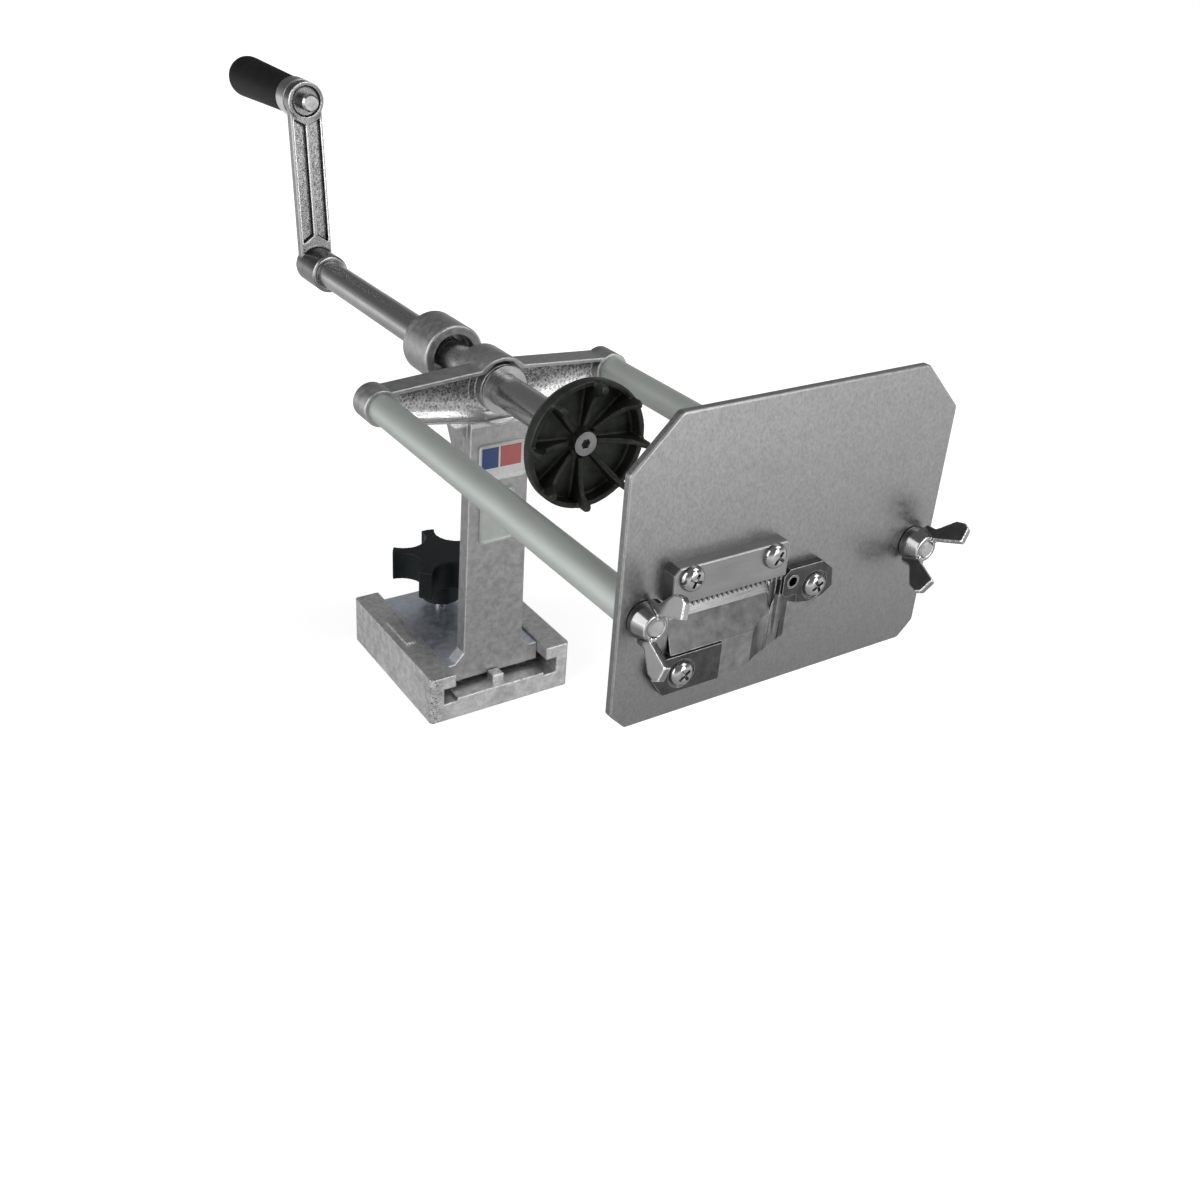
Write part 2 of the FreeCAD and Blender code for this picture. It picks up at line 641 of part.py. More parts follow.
PLATE = (0, "-plate_front", "shaft_high")  # place of the plate's front face on the shaft axis

COMB_SCREWS = (("-comb_screw_left", "comb_screw_high"), ("-comb_screw_right", "comb_screw_high"))
HOLDER_SCREWS = (("-holder_screw_left", "-holder_screw_low"), ("lug_screw_right", "-lug_screw_low"))


def make_face_plate():
    body = new_body("face_plate", *PLATE)
    face = new_sketch(body, "plate_outline", "XZ_Plane")
    right = [
        ("plate_wid/2", "-plate_drop+plate_nip"),
        ("plate_wid/2", "plate_rise-plate_cut"),
        ("plate_wid/2-plate_cut", "plate_rise"),
    ]
    left = [("-(" + x + ")", z) for x, z in reversed(right)]
    lower = [("-(plate_wid/2-plate_nip)", "-plate_drop"), ("plate_wid/2-plate_nip", "-plate_drop")]
    outline(face, right + left + lower)
    sheet_pad = pad(body, face, "plate_thick", backward=True)
    softened = rounded(body, sheet_pad, lambda edge: runs_along(edge, Y_AXIS), "plate_nip/3")
    faces = (0, size_of("plate_thick"))
    bevelled(body, softened, lambda edge: any(
        max(abs(vertex.Y - y) for vertex in edge.Vertexes) < 1e-3 for y in faces), "plate_edge")
    window = new_sketch(body, "outlet_window", "XZ_Plane")
    box_outline(window, "-win_left", "-win_low", "-win_right", "win_top")
    opening = pocket(body, window, "plate_thick")
    half = size_of("plate_wid/2-plate_nip")
    rounded(body, opening, lambda edge: runs_along(edge, Y_AXIS) and abs(middle(edge).x) < half
            and abs(middle(edge).z) < size_of("plate_drop/2"), "win_round")
    holes = new_sketch(body, "plate_holes", "XZ_Plane")
    for side in ("-", ""):
        ring(holes, side + "rod_span/2", 0, "rod_stud+4*gap_fit")
    for x, z in COMB_SCREWS + HOLDER_SCREWS:
        ring(holes, x, z, "blade_screw+2*gap_fit")
    ring(holes, 0, 0, "pin_dia+2*gap_fit")
    pocket(body, holes, "plate_thick")
    return keep(body)


# ---------------------------------------------------------------- blade set

def make_comb_bar():
    body = new_body("comb_bar", *PLATE)
    face = new_sketch(body, "bar_face", "XZ_Plane")
    outline(face, (
        ("-bar_left", "bar_low"),
        ("-bar_right", "bar_low"),
        ("-bar_right", "bar_top-bar_clip/2"),
        ("-bar_right-bar_clip/2", "bar_top"),
        ("-bar_left+bar_clip", "bar_top"),
        ("-bar_left", "bar_top-bar_clip"),
    ))
    block = pad(body, face, "bar_thick")
    front = -size_of("bar_thick")
    bevelled(body, block, lambda edge: max(abs(v.Y - front) for v in edge.Vertexes) < 1e-3, "bar_edge")
    rebate = new_sketch(body, "comb_rebate", "XZ_Plane")
    box_outline(rebate, "-tooth_first-tooth_pitch", "bar_low-bar_wall",
                "-bar_right-bar_wall", "bar_low+comb_root")
    pocket(body, rebate, "comb_deep", forward=True)
    holes = new_sketch(body, "bar_holes", "XZ_Plane", (0, 0, "bar_thick"))
    for x, z in COMB_SCREWS:
        ring(holes, x, z, "blade_screw+2*gap_fit")
    pocket(body, holes, "bar_thick")
    return keep(body)


def make_comb_blade():
    """A comb of thin upright knives that split the slice into strands."""
    body = new_body("comb_blade", *PLATE)
    back = new_sketch(body, "comb_back", "XZ_Plane")
    box_outline(back, "-tooth_first-tooth_pitch+gap_fit", "bar_low", "-bar_right-bar_wall-gap_fit",
                "bar_low+comb_root-gap_fit")
    pad(body, back, "comb_deep-gap_fit")
    tooth = new_sketch(body, "comb_tooth", "XZ_Plane")
    outline(tooth, (
        ("-tooth_first-tooth_wide/2", "bar_low+bury"),
        ("-tooth_first-tooth_wide/2", "bar_low-tooth_long+tooth_wide"),
        ("-tooth_first", "bar_low-tooth_long"),
        ("-tooth_first+tooth_wide/2", "bar_low-tooth_long+tooth_wide"),
        ("-tooth_first+tooth_wide/2", "bar_low+bury"),
    ))
    knife = pad(body, tooth, "comb_deep-gap_fit")
    row = body.newObject("PartDesign::LinearPattern", "comb_row")
    row.Originals = [knife]
    row.Direction = (tooth, ["H_Axis"])
    row.setExpression("Length", bound("tooth_pitch*(tooth_count-1)"))
    row.setExpression("Occurrences", bound("tooth_count"))
    finish(body, row)
    return keep(body)


RAMP_LEFT = "-(win_left-ramp_inset)"
RAMP_RIGHT = "-(win_right+ramp_short)"
RAMP_WIDE = "win_left-ramp_inset-win_right-ramp_short"


def make_blade_holder():
    """The lower casting: a bar at the left, a lug on the axis and the outlet ramp between them."""
    body = new_body("blade_holder", *PLATE)
    face = new_sketch(body, "holder_face", "XZ_Plane")
    outline(face, (
        ("-holder_left", "-holder_low*0.76"),
        ("-holder_left*0.91", "-holder_low"),
        ("-holder_right", "-holder_low"),
        ("-holder_right/3", "-holder_low*0.88"),
        ("0", "-holder_low*0.73"),
        ("holder_right/2", "-holder_low*0.46"),
        ("holder_right*0.81", "-holder_low*0.35"),
        ("holder_right", "-holder_top*1.5"),
        ("holder_right*0.94", "holder_top/5"),
        ("holder_right*0.69", "holder_top"),
        ("-pin_dia/4", "holder_top"),
        ("-pin_dia*0.72", "holder_top/2"),
        ("-pin_dia*0.75", "-holder_top"),
        (RAMP_RIGHT, "-holder_top*2"),
        (RAMP_RIGHT, "-ramp_low"),
        ("-holder_left*0.94", "-ramp_low"),
        ("-holder_left", "-ramp_low*1.15"),
    ))
    pad(body, face, "holder_base")
    lugs = new_sketch(body, "holder_lugs", "XZ_Plane")
    outline(lugs, (
        ("-holder_left", "-holder_low*0.76"),
        ("-holder_left*0.91", "-holder_low"),
        ("-lug_left", "-holder_low"),
        ("-lug_left", "-ramp_low"),
        ("-holder_left*0.94", "-ramp_low"),
        ("-holder_left", "-ramp_low*1.15"),
    ))
    outline(lugs, (
        ("-pin_dia*0.72", "-holder_top*0.9"),
        ("0", "-holder_top*1.75"),
        ("holder_right*0.43", "-holder_top*2.1"),
        ("holder_right*0.78", "-holder_top*1.9"),
        ("holder_right", "-holder_top*1.3"),
        ("holder_right*0.94", "holder_top/5"),
        ("holder_right*0.69", "holder_top"),
        ("-pin_dia/4", "holder_top"),
        ("-pin_dia*0.72", "holder_top/2"),
    ))
    pad(body, lugs, "holder_thick")
    wedge = new_sketch(body, "ramp_section", "YZ_Plane", (0, 0, RAMP_LEFT))
    outline(wedge, (
        ("-holder_base", "-ramp_low"),
        ("ramp_back", "ramp_top"),
        ("plate_thick", "ramp_top-ramp_back+ramp_inset*3"),
        ("plate_thick", "-win_low+gap_fit"),
        ("0", "-win_low+gap_fit"),
        ("0", "-ramp_low*1.1"),
        ("-holder_base", "-ramp_low*1.1"),
    ))
    pad(body, wedge, RAMP_WIDE)
    scoop = new_sketch(body, "polished_scoop", "XY_Plane", (0, 0, "-scoop_low"))
    ring(scoop, "-scoop_left", "-(holder_base+scoop_radius-scoop_deep)", "scoop_radius*2")
    pocket(body, scoop, "scoop_high", midplane=True)
    recess = new_sketch(body, "screw_rings", "XZ_Plane", (0, 0, "holder_thick"))
    for x, z in HOLDER_SCREWS:
        ring(recess, x, z, "ring_dia")
    pocket(body, recess, "ring_deep")
    holes = new_sketch(body, "holder_holes", "XZ_Plane", (0, 0, "holder_thick"))
    for x, z in HOLDER_SCREWS:
        ring(holes, x, z, "blade_screw+2*gap_fit")
    ring(holes, 0, 0, "pin_dia+2*gap_fit")
    pocket(body, holes, "holder_thick")
    return keep(body)


def make_slicing_knife():
    """A strip on the ramp whose ground edge stands behind the plate and takes the slice."""
    body = new_body("slicing_knife", *PLATE)
    rise = size_of("ramp_top+ramp_low")
    run = size_of("ramp_back+holder_base")
    slope = math.hypot(rise, run)
    along = Vector(run / slope, rise / slope, 0)
    out = Vector(-along.y, along.x, 0)
    top = Vector(size_of("ramp_back"), size_of("ramp_top"), 0)
    edge = top + along * size_of("knife_over")
    root = edge - along * size_of("knife_wide")
    thick = size_of("knife_thick")
    corners = [root, edge, edge - along * 2 * thick + out * thick, root + out * thick]
    section = new_sketch(body, "knife_section", "YZ_Plane", (0, 0, RAMP_LEFT))
    outline(section, [("%.6f" % point.x, "%.6f" % point.y) for point in corners])
    pad(body, section, RAMP_WIDE)
    return keep(body)


def make_centre_pin():
    """The tube on the shaft axis that centres the vegetable and cores it."""
    body = new_body("centre_pin", *PLATE)
    section = new_sketch(body, "pin_section", "YZ_Plane")
    outline(section, (
        ("-holder_thick-pin_proud", "pin_bore/2"),
        ("-holder_thick-pin_proud", "pin_dia/2"),
        ("plate_thick+pin_back-pin_dia/3", "pin_dia/2"),
        ("plate_thick+pin_back", "pin_bore/2+bury"),
        ("plate_thick+pin_back", "pin_bore/2"),
    ))
    turned(body, section)
    return keep(body)


def pan_screw(label, x, z, seat):
    """A pan head screw with a cross recess; seat is how far its head stands ahead of the plate."""
    body = new_body(label, x, "-plate_front-(" + seat + ")", "shaft_high+(" + z + ")")
    section = new_sketch(body, label + "_section", "YZ_Plane")
    outline(section, (
        ("(" + seat + ")+plate_thick", "0"),
        ("(" + seat + ")+plate_thick", "blade_screw/2"),
        ("0", "blade_screw/2"),
        ("0", "blade_head/2"),
        ("-blade_head_high*0.5", "blade_head/2"),
        ("-blade_head_high", "blade_head*0.35"),
        ("-blade_head_high", "0"),
    ))
    turned(body, section)
    slot = new_sketch(body, label + "_cross", "XZ_Plane", (0, 0, "blade_head_high"))
    long, wide = "blade_head/4", "blade_head/16"
    outline(slot, (
        (long, "-" + wide), (long, wide), (wide, wide), (wide, long),
        ("-" + wide, long), ("-" + wide, wide), ("-" + long, wide), ("-" + long, "-" + wide),
        ("-" + wide, "-" + wide), ("-" + wide, "-" + long), (wide, "-" + long), (wide, "-" + wide),
    ))
    pocket(body, slot, "blade_head_high*0.55")
    return body


def make_screw_pair(label, places, seat):
    pair = doc.addObject("Part::Compound", label)
    pair.Links = [pan_screw("%s_%d" % (label, number), x, z, seat)
                  for number, (x, z) in enumerate(places, start=1)]
    pair.Label = label
    doc.recompute()
    return keep(pair)


# ---------------------------------------------------------------- wing nuts

def make_wing_nut(label, side, turn):
    body = new_body(label)
    hub = new_sketch(body, label + "_hub", "YZ_Plane")
    outline(hub, (
        ("0", "0"),
        ("0", "nut_base/2"),
        ("-nut_high/3", "nut_base/2"),
        ("-nut_high", "nut_top/2"),
        ("-nut_high", "0"),
    ))
    turned(body, hub)
    wings = new_sketch(body, label + "_wings", "XY_Plane")
    right = [
        ("nut_top/3", "-nut_high/8"),
        ("wing_heel/2", "-nut_high/4"),
        ("wing_heel/2", "-wing_clear"),
        ("wing_span*0.47", "-wing_high*0.62"),
        ("wing_span/2", "-wing_high*0.82"),
        ("wing_span*0.46", "-wing_high*0.94"),
        ("wing_span*0.28", "-wing_high"),
        ("nut_top*0.46", "-nut_high*1.1"),
    ]
    left = [("-(" + x + ")", y) for x, y in reversed(right)]
    outline(wings, right + left)
    pad(body, wings, "wing_thick", midplane=True)
    bore = new_sketch(body, label + "_bore", "XZ_Plane")
    ring(bore, 0, 0, "rod_stud+2*gap_fit")
    pocket(body, bore, "wing_high", forward=True)
    sign = -1 if side else 1
    place = Vector(sign * size_of("rod_span/2"), -size_of("plate_front+gap_free"), size_of("shaft_high"))
    body.Placement = FreeCAD.Placement(place, FreeCAD.Rotation(Y_AXIS, -size_of(turn)))
    body.setExpression("Placement.Base.x", bound(side + "rod_span/2"))
    body.setExpression("Placement.Base.y", bound("-plate_front-gap_free"))
    body.setExpression("Placement.Base.z", bound("shaft_high"))
    doc.recompute()
    return keep(body)


# ---------------------------------------------------------------- bushes, shaft, cup

AXIS = (0, 0, "shaft_high")


def make_front_bush():
    body = new_body("front_bush", *AXIS)
    section = new_sketch(body, "front_bush_section", "YZ_Plane")
    face = "(-front_face-end_boss_out-gap_free)"
    outline(section, (
        (face + "-bush_lip", "shaft_dia/2+gap_fit"),
        (face + "-bush_lip", "bush_flange/2"),
        (face, "bush_flange/2"),
        (face, "bush_dia/2"),
        (face + "+bush_len", "bush_dia/2"),
        (face + "+bush_len", "shaft_dia/2+gap_fit"),
    ))
    turned(body, section)
    return keep(body)


def make_rear_bush():
    body = new_body("rear_bush", *AXIS)
    section = new_sketch(body, "rear_bush_section", "YZ_Plane")
    end = "(front_boss_len+boss_space-front_face-end_boss_out+rear_boss_len-1)"
    outline(section, (
        (end + "-rear_bush_len", "shaft_dia/2+gap_fit"),
        (end + "-rear_bush_len", "bush_dia/2"),
        (end, "bush_dia/2"),
        (end, "shaft_dia/2+gap_fit"),
    ))
    turned(body, section)
    return keep(body)


def make_drive_shaft():
    body = new_body("drive_shaft", *AXIS)
    section = new_sketch(body, "shaft_section", "YZ_Plane")
    end = "(crank_front+crank_bore_len)"
    outline(section, (
        ("-shaft_front", "0"),
        ("-shaft_front", "shaft_dia/2"),
        (end, "shaft_dia/2"),
        (end, "0"),
    ))
    turned(body, section)
    tap = new_sketch(body, "cup_bolt_tap", "XZ_Plane", (0, 0, "shaft_front"))
    ring(tap, 0, 0, "cup_bolt_dia+2*gap_fit")
    pocket(body, tap, "cup_bolt_len")
    return keep(body)


def make_gripping_cup():
    """A bowl with eight fins whose prongs bite the end of the vegetable."""
    body = new_body("gripping_cup", *AXIS)
    bowl = new_sketch(body, "cup_section", "YZ_Plane")
    outline(bowl, (
        ("-shaft_front", "0"),
        ("-cup_floor", "0"),
        ("-cup_floor", "cup_dia/2-cup_wall"),
        ("-cup_front", "cup_dia/2-cup_wall"),
        ("-cup_front", "cup_dia/2"),
        ("-cup_front+cup_band", "cup_dia/2"),
        ("-cup_floor+cup_wall", "cup_dia/2-cup_wall"),
        ("-cup_floor+cup_hub_len/2", "cup_hub/2"),
        ("-cup_floor+cup_hub_len", "cup_hub/2"),
        ("-cup_floor+cup_hub_len", "shaft_dia/2+gap_fit"),
        ("-shaft_front", "shaft_dia/2+gap_fit"),
    ))
    turned(body, bowl)
    fin = new_sketch(body, "fin_section", "YZ_Plane")
    outline(fin, (
        ("-cup_floor+bury", "cup_bolt_head*0.6"),
        ("-cup_floor-cup_wall", "cup_bolt_head*0.65"),
        ("-cup_front+cup_wall/2", "cup_dia*0.3"),
        ("-cup_front-cup_wall/2", "cup_dia*0.38"),
        ("-cup_front-fin_reach", "cup_dia/2-cup_wall*1.4"),
        ("-cup_front-fin_reach", "cup_dia/2-cup_wall*0.8"),
        ("-cup_front-fin_reach*0.8", "cup_dia/2-cup_wall/4"),
        ("-cup_front+cup_wall/3", "cup_dia/2-cup_wall/4"),
        ("-cup_floor+bury", "cup_dia/2-cup_wall*0.8"),
    ))
    blade = pad(body, fin, "fin_thick", midplane=True)
    crown = body.newObject("PartDesign::PolarPattern", "fin_crown")
    crown.Originals = [blade]
    crown.Axis = (fin, ["H_Axis"])
    crown.Angle = 360
    crown.setExpression("Occurrences", bound("fin_count"))
    finish(body, crown)
    hole = new_sketch(body, "cup_bolt_hole", "XZ_Plane", (0, 0, "cup_floor"))
    ring(hole, 0, 0, "cup_bolt_dia+2*gap_fit")
    pocket(body, hole, "cup_floor-shaft_front")
    turn = FreeCAD.Rotation(Y_AXIS, size_of("cup_turn"))
    body.Placement = FreeCAD.Placement(Vector(0, 0, size_of("shaft_high")), turn)
    body.setExpression("Placement.Base.z", bound("shaft_high"))
    doc.recompute()
    return keep(body)


def make_cup_bolt():
    body = new_body("cup_bolt", *AXIS)
    section = new_sketch(body, "cup_bolt_section", "YZ_Plane")
    outline(section, (
        ("-cup_floor-cup_bolt_high", "0"),
        ("-cup_floor-cup_bolt_high", "cup_bolt_head/2"),
        ("-cup_floor", "cup_bolt_head/2"),
        ("-cup_floor", "cup_bolt_dia/2"),
        ("-shaft_front+cup_bolt_len-gap_free", "cup_bolt_dia/2"),
        ("-shaft_front+cup_bolt_len-gap_free", "0"),
    ))
    turned(body, section)
    socket = new_sketch(body, "hex_socket", "XZ_Plane", (0, 0, "cup_floor+cup_bolt_high"))
    across = "cup_bolt_dia*0.36"
    outline(socket, [("%s*%.6f" % (across, math.cos(math.radians(60 * k))),
                      "%s*%.6f" % (across, math.sin(math.radians(60 * k)))) for k in range(6)])
    pocket(body, socket, "cup_bolt_high*0.6")
    return keep(body)


# ---------------------------------------------------------------- crank and grip

def make_crank_arm():
    body = new_body("crank_arm", *AXIS)
    hub = new_sketch(body, "crank_hub_section", "YZ_Plane")
    end = "(crank_front+crank_hub_len)"
    outline(hub, (
        ("crank_front", "0"),
        ("crank_front", "crank_hub/2-crank_edge"),
        ("crank_front+crank_edge", "crank_hub/2"),
        (end, "crank_hub/2"),
        (end, "0"),
    ))
    turned(body, hub)
    lean = FreeCAD.Rotation(X_AXIS, -size_of("crank_lean"))
    arm = new_sketch(body, "arm_section", "XY_Plane")
    arm.AttachmentOffset = FreeCAD.Placement(Vector(0, size_of("crank_arm_y"), 0), lean)
    right = [
        ("crank_wid/2-crank_edge", "0"),
        ("crank_wid/2", "crank_edge"),
        ("crank_wid/2", "crank_thick-crank_edge"),
        ("crank_wid/2-crank_edge", "crank_thick"),
    ]
    left = [("-(" + x + ")", y) for x, y in reversed(right)]
    outline(arm, right + left)
    pad(body, arm, "crank_throw")
    eye = new_sketch(body, "eye_outline", "XZ_Plane", (0, "crank_throw", "-eye_front"))
    ring(eye, 0, 0, "eye_dia")
    pad(body, eye, "eye_len", backward=True)
    for side in ("", "-"):
        recess = new_sketch(body, "arm_recess_%s" % ("left" if side else "right"), "XZ_Plane")
        recess.AttachmentOffset = FreeCAD.Placement(Vector(0, 0, -size_of("crank_arm_y")), lean)
        outline(recess, (
            (side + "crank_rib/2", "crank_hub/2+crank_rim*4"),
            (side + "(crank_wid/2-crank_rim)", "crank_hub/2+crank_rim*1.5"),
            (side + "(crank_wid/2-crank_rim)", "crank_throw-eye_dia*0.42"),
            (side + "crank_rib/2", "crank_throw-eye_dia*0.58"),
        ))
        pocket(body, recess, "crank_sink")
    dish = new_sketch(body, "eye_dish", "XZ_Plane", (0, "crank_throw", "-eye_front"))
    ring(dish, 0, 0, "eye_dia-2*eye_rim")
    pocket(body, dish, "eye_sink")
    bolt_hole = new_sketch(body, "eye_bore", "XZ_Plane", (0, "crank_throw", "-eye_front"))
    ring(bolt_hole, 0, 0, "bolt_dia+2*gap_fit")
    pocket(body, bolt_hole, "eye_len+eye_rim")
    bore = new_sketch(body, "crank_bore", "XZ_Plane", (0, 0, "-crank_front"))
    ring(bore, 0, 0, "shaft_dia+2*gap_fit")
    pocket(body, bore, "crank_bore_len")
    tap = new_sketch(body, "set_screw_tap", "XY_Plane", (0, "crank_front+set_back", "-crank_hub/2"))
    ring(tap, 0, 0, "set_dia+2*gap_fit")
    pocket(body, tap, "crank_hub/2", forward=True)
    return keep(body)


def make_crank_set_screw():
    body = new_body("crank_set_screw", 0, "crank_front+set_back", "shaft_high-shaft_dia/2-gap_fit")
    shank = new_sketch(body, "set_screw_section", "XY_Plane")
    ring(shank, 0, 0, "set_dia")
    pad(body, shank, "set_len", backward=True)
    socket = new_sketch(body, "set_screw_socket", "XY_Plane", (0, 0, "-set_len"))
    ring(socket, 0, 0, "set_dia/2")
    pocket(body, socket, "set_len/2", forward=True)
    return keep(body)


GRIP_AXIS = (0, 0, "shaft_high+crank_throw")
FERRULE_Y = "(eye_front+eye_len)"
GRIP_Y = "(eye_front+eye_len+ferrule_len)"


def make_grip_bolt():
    body = new_body("grip_bolt", *GRIP_AXIS)
    section = new_sketch(body, "grip_bolt_section", "YZ_Plane")
    seat = "(eye_front+eye_sink)"
    outline(section, (
        (seat + "-bolt_head_len", "0"),
        (seat + "-bolt_head_len", "bolt_head*0.4"),
        (seat + "-bolt_head_len+bolt_head*0.1", "bolt_head/2"),
        (seat, "bolt_head/2"),
        (seat, "bolt_dia/2"),
        (GRIP_Y + "+grip_len-grip_wall-gap_free", "bolt_dia/2"),
        (GRIP_Y + "+grip_len-grip_wall-gap_free", "0"),
    ))
    turned(body, section)
    return keep(body)


def make_grip_ferrule():
    body = new_body("grip_ferrule", *GRIP_AXIS)
    section = new_sketch(body, "ferrule_section", "YZ_Plane")
    outline(section, (
        (FERRULE_Y, "bolt_dia/2+gap_fit"),
        (FERRULE_Y, "ferrule_dia/2"),
        (GRIP_Y, "ferrule_dia/2"),
        (GRIP_Y, "bolt_dia/2+gap_fit"),
    ))
    turned(body, section)
    return keep(body)


def make_crank_grip():
    body = new_body("crank_grip", *GRIP_AXIS)
    section = new_sketch(body, "grip_section", "YZ_Plane")
    start = "(" + GRIP_Y + "+gap_free)"
    outline(section, (
        (start, "bolt_dia/2+gap_fit"),
        (start, "grip_neck/2"),
        (start + "+grip_len*0.89", "grip_belly/2"),
        (start + "+grip_len", "grip_belly*0.36"),
        (start + "+grip_len", "0"),
        (start + "+grip_len-grip_wall", "0"),
        (start + "+grip_len-grip_wall", "bolt_dia/2+gap_fit"),
    ))
    turned(body, section)
    return keep(body)


# ---------------------------------------------------------------- clamp knob

def make_star_knob():
    """A thick disc on a round hub, with a round valley between each two lobes."""
    body = new_body("star_knob", 0, "knob_back", 0)
    disc = new_sketch(body, "star_disc", "XY_Plane", (0, 0, "star_low"))
    ring(disc, 0, 0, "star_dia")
    pad(body, disc, "star_top-star_low")
    # a lobe keeps the stated tip width, which sets how far out and how wide each valley is
    radius = size_of("star_dia/2")
    valley = size_of("star_valley")
    step = 360 / size_of("star_lobes")
    half = math.radians(step / 2) - math.asin(size_of("star_tip") / 2 / radius)
    tip = Vector(radius * math.cos(half), radius * math.sin(half), 0)
    centre = (tip.x ** 2 + tip.y ** 2 - valley ** 2) / (2 * (tip.x - valley))
    angle = math.radians(size_of("star_turn") + step / 2)
    cutter = new_sketch(body, "valley_round", "XY_Plane", (0, 0, "star_top"))
    ring(cutter, "%.6f" % (centre * math.cos(angle)), "%.6f" % (centre * math.sin(angle)),
         "%.6f" % (2 * (centre - valley)))
    cut = pocket(body, cutter, "star_top-star_low")
    valleys = body.newObject("PartDesign::PolarPattern", "valleys")
    valleys.Originals = [cut]
    valleys.Axis = (disc, ["N_Axis"])
    valleys.Angle = 360
    valleys.setExpression("Occurrences", bound("star_lobes"))
    finish(body, valleys)
    hub = new_sketch(body, "knob_hub_round", "XY_Plane", (0, 0, "knob_low"))
    ring(hub, 0, 0, "knob_hub")
    pad(body, hub, "star_low-knob_low")
    bore = new_sketch(body, "knob_bore", "XY_Plane", (0, 0, "knob_low"))
    ring(bore, 0, 0, "stud_dia+2*gap_fit")
    pocket(body, bore, "stud_in+gap_free", forward=True)
    return keep(body)


def make_knob_stud():
    body = new_body("knob_stud", 0, "knob_back", 0)
    shank = new_sketch(body, "stud_outline", "XY_Plane", (0, 0, "floor_high+gap_free"))
    ring(shank, 0, 0, "stud_dia")
    pad(body, shank, "knob_low+stud_in-floor_high-gap_free")
    return keep(body)


# ---------------------------------------------------------------- build and write

make_channel_base()
make_stop_peg()
make_frame_casting()
make_guide_rod("left_guide_rod", "-")
make_guide_rod("right_guide_rod", "")
make_face_plate()
make_comb_bar()
make_comb_blade()
make_blade_holder()
make_slicing_knife()
make_centre_pin()
make_screw_pair("comb_screws", COMB_SCREWS, "bar_thick")
make_screw_pair("holder_screws", HOLDER_SCREWS, "holder_thick-ring_deep")
make_wing_nut("left_wing_nut", "-", "left_turn")
make_wing_nut("right_wing_nut", "", "right_turn")
make_front_bush()
make_rear_bush()
make_drive_shaft()
make_gripping_cup()
make_cup_bolt()
make_crank_arm()
make_crank_set_screw()
make_grip_bolt()
make_grip_ferrule()
make_crank_grip()
make_star_knob()
make_knob_stud()

doc.recompute()
for item in doc.Objects:
    if "Invalid" in item.State or "Error" in item.State:
        raise RuntimeError("%s failed: %s" % (item.Label, item.State))
for node in nodes:
    if node.Shape.isNull() or not node.Shape.isValid():
        raise RuntimeError("%s has no valid shape" % node.Label)

os.makedirs("parts", exist_ok=True)
for node in nodes:
    node.Shape.exportStep("parts/%s.step" % node.Label)
    print("%-18s %d solid, %.1f cm3" % (node.Label, len(node.Shape.Solids), node.Shape.Volume / 1000))
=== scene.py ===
import json
import math

import bpy
from mathutils import Matrix, Vector

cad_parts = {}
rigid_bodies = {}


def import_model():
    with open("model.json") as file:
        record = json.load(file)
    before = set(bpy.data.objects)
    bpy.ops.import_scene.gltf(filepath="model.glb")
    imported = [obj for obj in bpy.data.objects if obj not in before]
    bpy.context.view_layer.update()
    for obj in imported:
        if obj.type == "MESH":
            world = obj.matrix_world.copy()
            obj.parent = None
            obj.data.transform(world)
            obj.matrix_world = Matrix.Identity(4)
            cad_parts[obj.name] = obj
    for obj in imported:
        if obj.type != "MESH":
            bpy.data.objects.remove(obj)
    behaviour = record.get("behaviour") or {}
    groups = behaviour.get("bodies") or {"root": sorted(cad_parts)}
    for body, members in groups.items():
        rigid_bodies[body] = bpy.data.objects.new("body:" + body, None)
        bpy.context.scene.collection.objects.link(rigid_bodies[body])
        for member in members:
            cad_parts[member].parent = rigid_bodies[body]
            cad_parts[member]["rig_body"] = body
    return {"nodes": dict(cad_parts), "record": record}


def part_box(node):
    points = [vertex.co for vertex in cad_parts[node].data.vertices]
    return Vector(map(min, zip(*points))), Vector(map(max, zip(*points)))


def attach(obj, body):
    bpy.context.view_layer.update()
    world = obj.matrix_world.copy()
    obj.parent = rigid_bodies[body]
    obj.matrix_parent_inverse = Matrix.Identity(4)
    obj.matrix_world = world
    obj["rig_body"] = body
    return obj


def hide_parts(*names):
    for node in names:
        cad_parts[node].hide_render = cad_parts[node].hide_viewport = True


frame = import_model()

# Hand cranked spiralizer: finishes, softened castings and small fittings around the fixed frame.
# Metres, the frame's own axes: +Z up, the blade plate faces -Y, the crank stands at +Y.

MM = 0.001
FLOOR_SIZE = 12
NODES = frame["nodes"]
SLOT_OF = {part["node"]: part["material_slot"] for part in frame["record"]["subparts"]}
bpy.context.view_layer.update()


# ---------------------------------------------------------------- places read from the frame

def centre(node):
    low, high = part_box(node)
    return (low + high) / 2


PLATE_LOW, PLATE_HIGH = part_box("face_plate")
PLATE_FRONT = PLATE_LOW.y
HOLDER_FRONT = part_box("blade_holder")[0].y
SHAFT_Z = centre("drive_shaft").z
COLUMN_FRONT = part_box("frame_casting")[0].y + 1.3 * MM      # the bosses stand ahead of the column
BASE_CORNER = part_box("channel_base")[0]
FOOT_TOP = 42 * MM      # all of the foot's upper side lies below this height
ARM_UNDER = 22 * MM     # the cross arm's underside, below the shaft's axis
WEB_DEPTH = 6.4 * MM    # how far behind the column's front the arm's web lies at most
WEB_LOW = 19.5 * MM     # the web's lower edge, below the shaft's axis at the middle
WEB_SLOPE = 0.15        # the rise of that edge towards the rods
UPPER_LABEL = (-13.6 * MM, 16.4 * MM, 150.4 * MM, 172.4 * MM)   # left, right, low, high
LOWER_LABEL = (-12.0 * MM, 11.0 * MM, 110.0 * MM, 144.0 * MM)
LABEL_THICK = 0.16 * MM
LABEL_CORNER = 2.2 * MM
